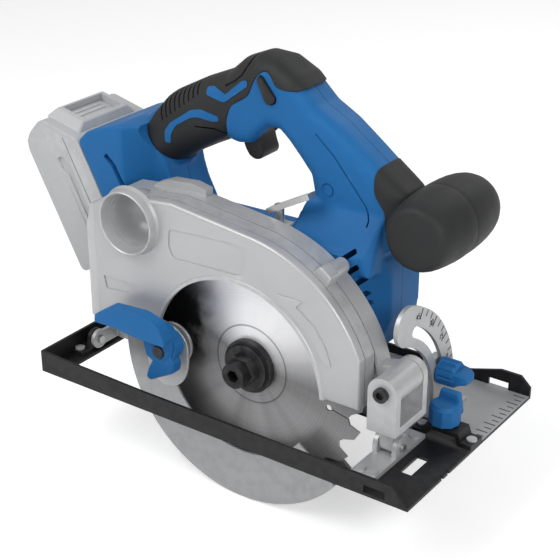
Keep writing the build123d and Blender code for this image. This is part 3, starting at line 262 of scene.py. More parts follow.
class SawColours(bpy.types.PropertyGroup):
    """Colours of the saw's finishes."""

    shell: colour_setting("Shell", "Moulded housing, knobs and levers", (0.016, 0.130, 0.350))
    rubber: colour_setting("Rubber", "Soft grip layer", (0.017, 0.0175, 0.0185))
    casting: colour_setting("Casting", "Lacquered upper guard and gear case", (0.46, 0.465, 0.47))
    pack: colour_setting("Battery", "Moulded battery pack", (0.459, 0.467, 0.476))


class SawDetail(bpy.types.PropertyGroup):
    """Fineness of the saw's mouldings."""

    voxel: bpy.props.FloatProperty(
        name="Shell detail", description="Size of the cells that blend the moulded shell",
        subtype="DISTANCE", unit="LENGTH", default=0.0013, min=0.0005)


class SawStage(bpy.types.PropertyGroup):
    """Floor, lamps and camera."""

    floor: colour_setting("Floor", "Colour of the floor", (0.86, 0.86, 0.86))
    key: power_setting("Key lamp", "Power of the large lamp above", 9.0)
    fill: power_setting("Fill lamp", "Power of the lamp at the front", 8.0)
    lens: bpy.props.FloatProperty(
        name="Lens", description="Focal length of the camera", subtype="DISTANCE_CAMERA", unit="CAMERA",
        default=88.9)


def at(x, y, z):
    """A point in metres from millimetres."""
    return Vector((x, y, z)) * MM


def on_side(point, y=0.0):
    """A point of the side view, at some Y."""
    return (point[0], y, point[1])


def bevel(bm, geom, width, segments, affect="EDGES"):
    """Rounds edges or corners by a width in millimetres."""
    bmesh.ops.bevel(bm, geom=geom, offset=width * MM, affect=affect, segments=segments, profile=0.5,
                    material=-1, clamp_overlap=True)


def slab(points, near, far, corner=0.0, near_edge=0.0, far_edge=0.0, segments=3):
    """A plate drawn in the side view, from one Y to another, with its corners and rims rounded."""
    bm = bmesh.new()
    bm.faces.new([bm.verts.new(at(x, near, z)) for x, z in points])
    if corner:
        bevel(bm, bm.verts[:], corner, CORNER_STEPS, "VERTICES")
    made = bmesh.ops.extrude_face_region(bm, geom=bm.faces[:])["geom"]
    moved = [g for g in made if isinstance(g, bmesh.types.BMVert)]
    bmesh.ops.translate(bm, verts=moved, vec=at(0, far - near, 0))
    bmesh.ops.recalc_face_normals(bm, faces=bm.faces[:])
    for y, width in ((near, near_edge), (far, far_edge)):
        if width:
            rim = [e for e in bm.edges if all(abs(v.co.y - y * MM) < 1e-6 for v in e.verts)]
            bevel(bm, rim, width, segments)
    return bm


def centred(points, half, corner=0.0, edge=0.0, segments=3):
    """A plate drawn in the side view that reaches as far to each side of the parting plane."""
    return slab(points, -half, half, corner, edge, edge, segments)


def through(points, corner=0.0):
    """A plate drawn in the side view that reaches through the whole saw."""
    return centred(points, THROUGH, corner)


def polar(centre, reach, turn):
    """The point at some reach from a centre, in a direction in degrees."""
    return (centre[0] + reach * cos(radians(turn)), centre[1] + reach * sin(radians(turn)))


def spun(bm, angle, axis):
    """Turns a shape by degrees about an axis through the origin."""
    bmesh.ops.rotate(bm, cent=(0, 0, 0), matrix=Matrix.Rotation(radians(angle), 3, axis), verts=bm.verts[:])
    return bm


# The turn that lays a body spun about Z along each axis.
LAID = {"X": (90, "Y"), "Y": (-90, "X"), "Z": (0, "Z")}


def turned(profile, centre, axis="Y", steps=64):
    """A round body spun about an axis from points of radius and distance along it."""
    bm = bmesh.new()
    verts = [bm.verts.new(at(radius, 0, along)) for radius, along in profile]
    edges = [bm.edges.new(pair) for pair in zip(verts, verts[1:])]
    bmesh.ops.spin(bm, geom=verts + edges, cent=(0, 0, 0), axis=(0, 0, 1), angle=2 * pi, steps=steps,
                   use_merge=True, use_duplicate=False)
    bmesh.ops.remove_doubles(bm, verts=bm.verts[:], dist=1e-6)
    bmesh.ops.recalc_face_normals(bm, faces=bm.faces[:])
    spun(bm, *LAID[axis])
    bmesh.ops.translate(bm, verts=bm.verts[:], vec=at(*centre))
    return bm


def drum(centre, radius, low, high, axis="Y", steps=64):
    """A plain round plug, for cutting holes and for bosses."""
    return turned(((0, low), (radius, low), (radius, high), (0, high)), centre, axis, steps)


def box(low, high, edge=0.0, segments=2):
    """A block between two corners, its edges rounded."""
    bm = bmesh.new()
    bmesh.ops.create_cube(bm, size=1.0)
    size = Vector(high) - Vector(low)
    bmesh.ops.scale(bm, vec=size * MM, verts=bm.verts[:])
    bmesh.ops.translate(bm, vec=(Vector(low) + size / 2) * MM, verts=bm.verts[:])
    if edge:
        bevel(bm, bm.edges[:], edge, segments)
    return bm


def hull(points):
    """The faceted block that wraps a few points."""
    bm = bmesh.new()
    for point in points:
        bm.verts.new(at(*point))
    made = bmesh.ops.convex_hull(bm, input=bm.verts[:])
    spare = [g for g in made["geom_interior"] + made["geom_unused"] if isinstance(g, bmesh.types.BMVert)]
    bmesh.ops.delete(bm, geom=list(set(spare)), context="VERTS")
    bmesh.ops.dissolve_limit(bm, angle_limit=radians(1), verts=bm.verts[:], edges=bm.edges[:])
    return bm


def loft(stations):
    """A closed skin over rings that stand across the handle."""
    bm = bmesh.new()
    rings = []
    for top, foot, half, square in stations:
        ring = bmesh.ops.create_circle(bm, cap_ends=False, radius=1.0, segments=40)["verts"]
        middle = (Vector(top) + Vector(foot)) / 2
        arm = (Vector(top) - Vector(foot)) / 2
        for vert in ring:
            across, along = (copysign(abs(c) ** (2 / square), c) for c in vert.co.xy)
            vert.co = at(middle.x + arm.x * along, half * across, middle.y + arm.y * along)
        rings.append(set(ring))
    loops = [[e for e in bm.edges if set(e.verts) <= ring] for ring in rings]
    for first, second in zip(loops, loops[1:]):
        bmesh.ops.bridge_loops(bm, edges=first + second)
    for end in (loops[0], loops[-1]):
        bmesh.ops.edgeloop_fill(bm, edges=end)
    bmesh.ops.recalc_face_normals(bm, faces=bm.faces[:])
    return bm


def joined(*bms):
    """Several shapes in one mesh, not yet blended."""
    whole = bmesh.new()
    for bm in bms:
        part = bpy.data.meshes.new("part")
        bm.to_mesh(part)
        bm.free()
        whole.from_mesh(part)
        bpy.data.meshes.remove(part)
    return whole


def placed(name, bm):
    """An object at the origin that holds a mesh."""
    mesh = bpy.data.meshes.new(name)
    bm.to_mesh(mesh)
    bm.free()
    obj = bpy.data.objects.new(name, mesh)
    bpy.context.scene.collection.objects.link(obj)
    return obj


def discard(obj):
    """Removes an object and its mesh."""
    mesh = obj.data
    bpy.data.objects.remove(obj)
    bpy.data.meshes.remove(mesh)


def shaped(bm, *steps):
    """The mesh after modifiers, each given as its kind and settings."""
    holder = placed("shaping", bm)
    for kind, settings in steps:
        modifier = holder.modifiers.new(kind, kind)
        for key, value in settings.items():
            setattr(modifier, key, value)
    mesh = bpy.data.meshes.new_from_object(holder.evaluated_get(bpy.context.evaluated_depsgraph_get()))
    result = bmesh.new()
    result.from_mesh(mesh)
    bpy.data.meshes.remove(mesh)
    discard(holder)
    if not result.faces:
        raise RuntimeError("a shape came out empty")
    return result


def carve(bm, *tools, operation="DIFFERENCE"):
    """A shape with tools cut out of it, or taken with them in another way."""
    cutters = [placed("shaping", tool) for tool in tools]
    settings = {"operation": operation, "solver": "EXACT"}
    steps = [("BOOLEAN", {**settings, "object": cutter}) for cutter in cutters]
    result = shaped(bm, *steps)
    for cutter in cutters:
        discard(cutter)
    return result


def fused(bm, *tools):
    """A shape joined with others."""
    return carve(bm, *tools, operation="UNION")


def common(bm, tool):
    """What two shapes share."""
    return carve(bm, tool, operation="INTERSECT")


def grown(bm, amount):
    """A copy whose skin stands out by an amount."""
    copy = bm.copy()
    copy.normal_update()
    for vert in copy.verts:
        vert.co += vert.normal * amount * MM
    return copy


def piece(name, bm, body, slot, nodes=(), look=None, edge=0.0, sharp=EDGE_ANGLE):
    """A finished piece that rides on a body and takes the place of its nodes."""
    obj = placed(name, bm)
    mesh = obj.data
    mesh.materials.append(MATERIALS[look or slot])
    mesh.polygons.foreach_set("use_smooth", [True] * len(mesh.polygons))
    if edge:
        round_edges(obj, edge)
    else:
        mesh.set_sharp_from_angle(angle=radians(sharp))
    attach(obj, body)
    if nodes:
        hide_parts(*nodes)
    return obj


def round_edges(obj, width):
    """Rounds a piece's sharp edges and keeps its flats flat."""
    rounding = obj.modifiers.new("edge_round", "BEVEL")
    rounding.width = width * MM
    rounding.segments = EDGE_STEPS
    rounding.limit_method = "ANGLE"
    rounding.angle_limit = radians(EDGE_ANGLE)
    rounding.use_clamp_overlap = True
    flats = obj.modifiers.new("flat_shading", "WEIGHTED_NORMAL")
    flats.keep_sharp = False


def soften(node, width):
    """Rounds the edges of a node that shows as it is."""
    obj = NODES[node]
    weld = obj.modifiers.new("weld", "WELD")
    weld.merge_threshold = 1e-6
    flats = obj.modifiers.new("flats", "DECIMATE")
    flats.decimate_type = "DISSOLVE"
    flats.angle_limit = radians(0.4)
    round_edges(obj, width)


def strip(points, width):
    """Outline of a line of some width through a few points."""
    line = [Vector(point) for point in points]
    left, right = [], []
    for i, spot in enumerate(line):
        along = (line[min(i + 1, len(line) - 1)] - line[max(i - 1, 0)]).normalized()
        across = Vector((-along.y, along.x)) * width / 2
        left.append(tuple(spot + across))
        right.append(tuple(spot - across))
    return left + right[::-1]


def scaled(points, factor):
    """An outline drawn larger or smaller about its middle."""
    middle = sum((Vector(point) for point in points), Vector((0, 0))) / len(points)
    return [tuple(middle + (Vector(point) - middle) * factor) for point in points]


def upright(points):
    """A block drawn in plan in X and Y, as tall as the body."""
    return spun(slab(points, -TALL, 0), -90, "X")


def facing(points, back, front):
    """A plate drawn in the front view in Y and Z, from one X to another."""
    return spun(slab(points, -front, -back), 90, "Z")


def both_sides(points, face, depth, corner=0.0):
    """Cutters that sink an outline into the near and the far face of a body."""
    near = slab(points, -face - PROUD, -face + depth, corner)
    far = slab(points, face - depth, face + PROUD, corner)
    return joined(near, far)


def rounded(bm, width, angle=30.0):
    """A shape with its sharp edges rounded."""
    edges = [e for e in bm.edges if e.is_manifold and e.calc_face_angle() > radians(angle)]
    bevel(bm, edges, width, 3)
    return bm


class Tree:
    """Shorthand for wiring a node tree."""

    def __init__(self, tree):
        self.tree = tree

    def add(self, kind, inputs=None, **settings):
        """A node with its settings and inputs, each a value or a socket to link."""
        node = self.tree.nodes.new("ShaderNode" + kind)
        for key, value in settings.items():
            setattr(node, key, value)
        for key, value in (inputs or {}).items():
            self.feed(node.inputs[key], value)
        return node

    def feed(self, socket, value):
        """Links a socket or sets its value."""
        if isinstance(value, bpy.types.NodeSocket):
            self.tree.links.new(value, socket)
        else:
            socket.default_value = value

    def math(self, operation, total, *others, clamp=False):
        """The result of a sum over one value or several, in turn."""
        for value in others or (0.0,):
            total = self.add("Math", {0: total, 1: value}, operation=operation, use_clamp=clamp).outputs[0]
        return total

    def spread(self, value, low, high, out_low=0.0, out_high=1.0):
        """A value carried from one range to another."""
        return self.add("MapRange", {"Value": value, "From Min": low, "From Max": high, "To Min": out_low,
                                     "To Max": out_high}).outputs["Result"]

    def vary(self, noise, low, high):
        """Noise carried from its usual range to another."""
        return self.spread(noise, 0.3, 0.7, low, high)

    def noise(self, scale, detail=2.0, vector=None, rough=0.5):
        """Noise over the piece in its own coordinates."""
        vector = vector or self.place()
        return self.add("TexNoise", {"Vector": vector, "Scale": scale, "Detail": detail,
                                     "Roughness": rough}).outputs["Fac"]

    def place(self):
        """Where a point is on the piece."""
        return self.add("TexCoord").outputs["Object"]

    def group(self, name, inputs):
        """A shared effect with its own values."""
        return self.add("Group", inputs, node_tree=bpy.data.node_groups[name]).outputs[0]


FLOAT, COLOUR, VECTOR = "NodeSocketFloat", "NodeSocketColor", "NodeSocketVector"


def new_effect(name, inputs, output, kind=FLOAT):
    """An empty shared effect: the wiring of its tree, its inputs and the socket that it puts out."""
    tree = bpy.data.node_groups.new(name, "ShaderNodeTree")
    for label in inputs:
        tree.interface.new_socket(label, in_out="INPUT", socket_type=COLOUR if label == "Colour" else FLOAT)
    tree.interface.new_socket(output, in_out="OUTPUT", socket_type=kind)
    given = tree.nodes.new("NodeGroupInput").outputs
    return Tree(tree), given, tree.nodes.new("NodeGroupOutput").inputs[0]


def make_effects():
    """The shared effects: colour drift, gloss drift, grain, edge wear and dust."""
    wire, given, out = new_effect("Colour drift", ("Colour", "Scale", "Amount"), "Colour", COLOUR)
    low = wire.math("SUBTRACT", 1.0, given["Amount"])
    high = wire.math("ADD", 1.0, given["Amount"])
    value = wire.vary(wire.noise(given["Scale"], 4.0), low, high)
    wire.feed(out, wire.add("HueSaturation", {"Color": given["Colour"], "Value": value}).outputs["Color"])

    wire, given, out = new_effect("Gloss drift", ("Roughness", "Scale", "Amount"), "Roughness")
    low = wire.math("SUBTRACT", given["Roughness"], given["Amount"])
    high = wire.math("ADD", given["Roughness"], given["Amount"])
    wire.feed(out, wire.vary(wire.noise(given["Scale"], 5.0, rough=0.6), low, high))

    wire, given, out = new_effect("Grain", ("Scale", "Strength"), "Normal", VECTOR)
    bump = wire.add("Bump", {"Strength": given["Strength"], "Distance": 0.0003,
                             "Height": wire.noise(given["Scale"], 3.0)})
    wire.feed(out, bump.outputs["Normal"])

    wire, given, out = new_effect("Edge wear", ("Start", "End", "Amount"), "Mask")
    crest = wire.spread(wire.add("NewGeometry").outputs["Pointiness"], given["Start"], given["End"])
    broken = wire.spread(wire.noise(160.0, 4.0), 0.35, 0.6)
    wire.feed(out, wire.math("MULTIPLY", crest, broken, given["Amount"], clamp=True))

    wire, given, out = new_effect("Dust", ("Scale", "Amount"), "Mask")
    normal = wire.add("SeparateXYZ", {0: wire.add("NewGeometry").outputs["Normal"]}).outputs["Z"]
    upward = wire.spread(normal, 0.2, 1.0)
    patches = wire.spread(wire.noise(given["Scale"], 6.0, rough=0.65), 0.42, 0.75)
    wire.feed(out, wire.math("MULTIPLY", upward, patches, given["Amount"], clamp=True))


def new_material(name):
    """A material, the wiring of its tree and the inputs of its shader."""
    material = bpy.data.materials.new(name)
    material.use_nodes = True
    return material, Tree(material.node_tree), material.node_tree.nodes["Principled BSDF"].inputs


def finish(name, colour, rough, metal=0.0, grain=(900.0, 0.12), drift=(14.0, 0.06), wear=None, dust=None,
           seam=False, specular=0.5, painted_sheen=None):
    """A procedural finish; wear and dust are a colour and the values of their effect; the last argument
    lays a painted reflection over the colour.
    """
    material, wire, shader = new_material(name)
    tint = wire.group("Colour drift", {"Colour": (*colour, 1.0), "Scale": drift[0], "Amount": drift[1]})
    if wear:
        mask = wire.group("Edge wear", {"Start": 0.52, "End": 0.58, "Amount": wear[1]})
        tint = blend(wire, mask, tint, wear[0])
    if dust:
        mask = wire.group("Dust", {"Scale": dust[1], "Amount": dust[2]})
        tint = blend(wire, mask, tint, dust[0])
    if seam:
        tint = parting_line(wire, tint)
    # A painted reflection laid over the colour, where one is given.
    if painted_sheen:
        tint = painted_sheen(wire, tint)
    sheen = wire.group("Gloss drift", {"Roughness": rough, "Scale": 40.0, "Amount": 0.06})
    wire.feed(shader["Base Color"], tint)
    wire.feed(shader["Roughness"], sheen)
    wire.feed(shader["Normal"], wire.group("Grain", {"Scale": grain[0], "Strength": grain[1]}))
    shader["Metallic"].default_value = metal
    shader["Specular IOR Level"].default_value = specular
    return material


def blend(wire, mask, tint, colour):
    """A tint mixed with a plain colour by a mask."""
    node = wire.add("Mix", {"Factor": mask, 6: tint, 7: (*colour, 1.0)}, data_type="RGBA")
    return node.outputs[2]


def parting_line(wire, tint):
    """A fine dark line where the two halves of the housing meet."""
    across = wire.add("SeparateXYZ", {0: wire.place()}).outputs["Y"]
    line = wire.spread(wire.math("ABSOLUTE", across), 0.18 * MM, 0.34 * MM, 0.75, 0.0)
    return blend(wire, line, tint, (0.004, 0.006, 0.010))


def blade_finish():
    """Ground steel with turned rings, and bright and dark sectors of reflected light painted into its
    colour.
    """
    material, wire, shader = new_material("ground_steel_painted_reflection")
    spot = wire.add("SeparateXYZ", {0: wire.place()}).outputs
    rise = wire.math("SUBTRACT", spot["Z"], ARBOR[1] * MM)
    squares = wire.math("ADD", wire.math("POWER", spot["X"], 2.0), wire.math("POWER", rise, 2.0))
    radius = wire.math("SQRT", squares)
    rings = wire.add("TexNoise", {"W": wire.math("MULTIPLY", radius, 2600.0), "Detail": 3.0, "Scale": 1.0},
                     noise_dimensions="1D").outputs["Fac"]
    turns = wire.add("CombineXYZ", {0: wire.math("DIVIDE", spot["X"], radius),
                                    1: wire.math("DIVIDE", rise, radius)}).outputs[0]
    # Painted highlight in one direction from the arbor and painted dark reflection in another.
    bright, dark = (
        wire.add("VectorMath", {0: turns, 1: (*polar((0, 0), 1, turn), 0.0)}, operation="DOT_PRODUCT")
        .outputs["Value"] for turn in (PAINTED_GLINT_AT, PAINTED_DARK_AT))
    ragged = wire.vary(wire.noise(60.0, 3.0), -8 * MM, 8 * MM)
    reach = wire.spread(wire.math("ADD", radius, ragged), PAINTED_DARK_FROM * MM, PAINTED_DARK_TO * MM)
    # The painted reflection sets the colour's lightness, with the rings' tone and a little noise on it.
    light = wire.math("ADD", wire.spread(bright, 0.15, 0.92, 0.24, 0.92),
                      wire.math("MULTIPLY", wire.spread(dark, 0.74, 0.93), reach, -0.42),
                      wire.vary(wire.noise(2.2, 3.0, turns), -0.05, 0.05), wire.vary(rings, -0.08, 0.08))
    beside = wire.math("ABSOLUTE", wire.math("SUBTRACT", radius, BLADE_LINE_R * MM))
    line = wire.spread(beside, 0.4 * MM, 0.7 * MM, 0.55, 0.0)
    light = wire.math("MULTIPLY", light, wire.math("SUBTRACT", 1.0, line))
    light = wire.math("MAXIMUM", light, 0.012)
    tint = wire.add("CombineColor", {0: light, 1: light, 2: wire.math("MULTIPLY", light, 1.02)}).outputs[0]
    bump = wire.add("Bump", {"Strength": 0.18, "Distance": 0.0002, "Height": rings})
    wire.feed(shader["Base Color"], tint)
    wire.feed(shader["Roughness"], wire.vary(rings, 0.34, 0.46))
    wire.feed(shader["Normal"], bump.outputs["Normal"])
    shader["Metallic"].default_value = 0.55
    return material


def painted_plate_sheen(wire, tint):
    """A painted reflection: the top of the base away from the blade, between its black lips, lighter grey
    where it faces up.
    """
    spot = wire.add("SeparateXYZ", {0: wire.place()}).outputs
    up = wire.add("SeparateXYZ", {0: wire.add("NewGeometry").outputs["Normal"]}).outputs["Z"]
    away = wire.spread(spot["Y"], -26 * MM, -4 * MM)
    low = wire.spread(spot["Z"], 2.6 * MM, 3.2 * MM, 1.0, 0.0)
    mask = wire.math("MULTIPLY", away, low, wire.spread(up, 0.7, 0.95),
                     wire.vary(wire.noise(30.0, 5.0), 0.82, 1.0))
    return blend(wire, mask, tint, (0.44, 0.445, 0.45))


MATERIALS = {}


def make_finishes(colours):
    """Every finish of the saw, one for each slot, and the base plate's own."""
    make_effects()
    MATERIALS.update({
        "blue_plastic": finish(
            "moulded_blue", colours.shell, 0.46, grain=(1400.0, 0.10), seam=True, specular=0.14,
            wear=((0.06, 0.22, 0.50), 0.30), dust=((0.05, 0.20, 0.42), 22.0, 0.10)),
        "soft_black": finish(
            "grip_rubber", colours.rubber, 0.58, grain=(1800.0, 0.35), drift=(25.0, 0.12),
            specular=0.30, wear=((0.05, 0.05, 0.052), 0.35), dust=((0.05, 0.05, 0.05), 30.0, 0.15)),
        "black_plastic": finish(
            "moulded_black", (0.013, 0.013, 0.014), 0.45, grain=(1300.0, 0.12), specular=0.30,
            wear=((0.05, 0.05, 0.055), 0.4)),
        "pack_plastic": finish(
            "moulded_grey", colours.pack, 0.46, grain=(1200.0, 0.10), drift=(10.0, 0.03), specular=0.30,
            wear=((0.66, 0.67, 0.68), 0.3)),
        "cast_alloy": finish(
            "lacquered_casting", colours.casting, 0.42, metal=0.35, grain=(620.0, 0.18),
            drift=(18.0, 0.03), specular=0.4, wear=((0.66, 0.66, 0.67), 0.3)),
        "guard_alloy": finish(
            "satin_alloy", (0.30, 0.304, 0.308), 0.38, metal=0.55, grain=(700.0, 0.12),
            drift=(18.0, 0.04), wear=((0.55, 0.55, 0.56), 0.3)),
        "black_steel": finish(
            "black_powder_coat", (0.009, 0.009, 0.010), 0.48, grain=(1000.0, 0.22), specular=0.25,
            wear=((0.05, 0.05, 0.052), 0.35), dust=((0.025, 0.025, 0.025), 26.0, 0.15)),
        # The base plate carries a painted reflection on the top away from the blade.
        "base_plate": finish(
            "base_plate", (0.009, 0.009, 0.010), 0.48, grain=(1000.0, 0.22), specular=0.25,
            wear=((0.045, 0.045, 0.047), 0.25), painted_sheen=painted_plate_sheen),
        "grey_steel": finish(
            "grey_plate", (0.44, 0.445, 0.45), 0.42, metal=0.4, grain=(800.0, 0.15),
            wear=((0.60, 0.60, 0.61), 0.5)),
        "zinc_steel": finish(
            "zinc_plate", (0.50, 0.50, 0.49), 0.32, metal=0.9, grain=(1500.0, 0.12), drift=(60.0, 0.12),
            wear=((0.55, 0.55, 0.56), 0.4)),
        "black_oxide": finish(
            "black_oxide", (0.011, 0.011, 0.012), 0.42, metal=0.2, grain=(900.0, 0.18), specular=0.3,
            wear=((0.14, 0.14, 0.145), 0.5)),
        "gear_steel": finish(
            "machined_steel", (0.40, 0.40, 0.41), 0.34, metal=0.9, grain=(1400.0, 0.12),
            drift=(50.0, 0.10)),
        "copper_part": finish(
            "copper_winding", (0.50, 0.22, 0.09), 0.38, metal=0.85, grain=(1100.0, 0.3),
            drift=(90.0, 0.2)),
        "board": finish(
            "circuit_board", (0.02, 0.12, 0.05), 0.35, grain=(500.0, 0.2), drift=(200.0, 0.2)),
        "cell_wrap": finish(
            "cell_sleeve", (0.05, 0.2, 0.11), 0.35, grain=(300.0, 0.1), drift=(40.0, 0.1)),
        "scale_ink": finish("scale_ink", (0.018, 0.018, 0.019), 0.55, grain=(1500.0, 0.1), specular=0.2),
        "blade_steel": blade_finish(),
    })


class SAW_OT_stage(bpy.types.Operator):
    """Floor, lamps, world and the camera of the product view"""
    bl_idname = "saw.stage"
    bl_label = "Stage"

    eye = (447.8, -652.3, 442.8)
    right = (0.816, 0.578, 0.0)
    back = (0.522, -0.737, 0.429)
    lamp_aim = (0.0, -0.02, 0.07)
    lamp_size = 0.9
    ambient = 0.32
    mirrored = 0.35
    floor_glow = 0.45

    def execute(self, context):
        stage = context.scene.saw_stage
        context.scene.view_settings.view_transform = "Standard"
        self.camera(context, stage)
        self.world(context)
        self.floor(stage)
        self.lamp("key_lamp", (-0.40, -0.80, 1.0), stage.key)
        self.lamp("fill_lamp", (1.05, -0.55, 0.75), stage.fill)
        self.lamp("back_lamp", (0.1, 1.2, 1.1), 0.5 * stage.fill)
        return {"FINISHED"}

    def camera(self, context, stage):
        """The camera, from its place and the directions to its right and behind it."""
        data = bpy.data.cameras.new("view")
        data.lens = stage.lens
        data.sensor_width = 36.0
        data.clip_end = 20.0
        camera = bpy.data.objects.new("view", data)
        context.scene.collection.objects.link(camera)
        back = Vector(self.back).normalized()
        up = back.cross(Vector(self.right)).normalized()
        turn = Matrix((up.cross(back), up, back)).transposed().to_4x4()
        camera.matrix_world = Matrix.Translation(at(*self.eye)) @ turn
        context.scene.camera = camera

    def seen(self, wire, mirrored):
        """1 for rays that the camera sees straight or through glass, and a share for those off a gloss."""
        path = wire.add("LightPath").outputs
        gloss = wire.math("MULTIPLY", path["Is Glossy Ray"], mirrored)
        return wire.math("ADD", path["Is Camera Ray"], gloss, path["Is Transmission Ray"], clamp=True)

    def world(self, context):
        """A dim, even light that shows as plain white."""
        world = bpy.data.worlds.new("studio")
        context.scene.world = world
        world.use_nodes = True
        wire = Tree(world.node_tree)
        background = world.node_tree.nodes["Background"].inputs
        background["Color"].default_value = (1.0, 1.0, 1.0, 1.0)
        strength = wire.spread(self.seen(wire, self.mirrored), 0.0, 1.0, self.ambient)
        wire.feed(background["Strength"], strength)

    def floor(self, stage):
        """Pale paper just under the saw, bright to the camera."""
        bm = bmesh.new()
        bmesh.ops.create_grid(bm, x_segments=1, y_segments=1, size=8.0)
        bmesh.ops.translate(bm, verts=bm.verts[:], vec=(0, 0, CAD_BOX[0][2] - 0.4 * MM))
        obj = placed("floor", bm)
        material, wire, shader = new_material("paper")
        shader["Roughness"].default_value = 0.9
        shader["Base Color"].default_value = (*stage.floor, 1.0)
        shader["Emission Color"].default_value = (1.0, 1.0, 1.0, 1.0)
        wire.feed(shader["Emission Strength"], wire.math("MULTIPLY", self.seen(wire, 1.0), self.floor_glow))
        obj.data.materials.append(material)

    def lamp(self, name, place, power):
        """A round lamp turned towards the saw."""
        data = bpy.data.lights.new(name, "AREA")
        data.energy = power
        data.shape = "DISK"
        data.size = self.lamp_size
        lamp = bpy.data.objects.new(name, data)
        bpy.context.scene.collection.objects.link(lamp)
        aim = Vector(self.lamp_aim) - Vector(place)
        lamp.matrix_world = Matrix.Translation(place) @ aim.to_track_quat("-Z", "Y").to_matrix().to_4x4()


class SAW_OT_metalwork(bpy.types.Operator):
    """Finishes on every part that keeps its own shape, with softened edges"""
    bl_idname = "saw.metalwork"
    bl_label = "Metalwork"

    soft = {
        "base_plate": 0.5, "front_foot": 0.8, "rear_ear": 0.4, "bevel_quadrant": 0.4, "fence_bridge": 0.5,
        "front_bracket": 1.0, "depth_bracket": 0.5, "lower_guard": 0.5, "gear_case": 1.0,
        "inner_flange": 0.5, "outer_flange": 0.6, "blade_bolt": 0.6, "spindle_lock": 0.5,
        "guard_screws": 0.3, "housing_screws": 0.3, "hinge_screw": 0.3, "gear_cover": 0.6,
        "depth_bolt": 0.4, "bevel_bolt": 0.4, "lever_screw": 0.3, "depth_lever": 1.2,
    }
    own_look = {"base_plate": "base_plate", "base_rivets": "grey_steel", "lever_screw": "black_oxide"}

    def execute(self, context):
        make_finishes(context.scene.saw_colours)
        for node, look in {**NODE_SLOTS, **self.own_look}.items():
            slots = NODES[node].data.materials
            slots.clear()
            slots.append(MATERIALS[look])
        for node, width in self.soft.items():
            soften(node, width)
        return {"FINISHED"}


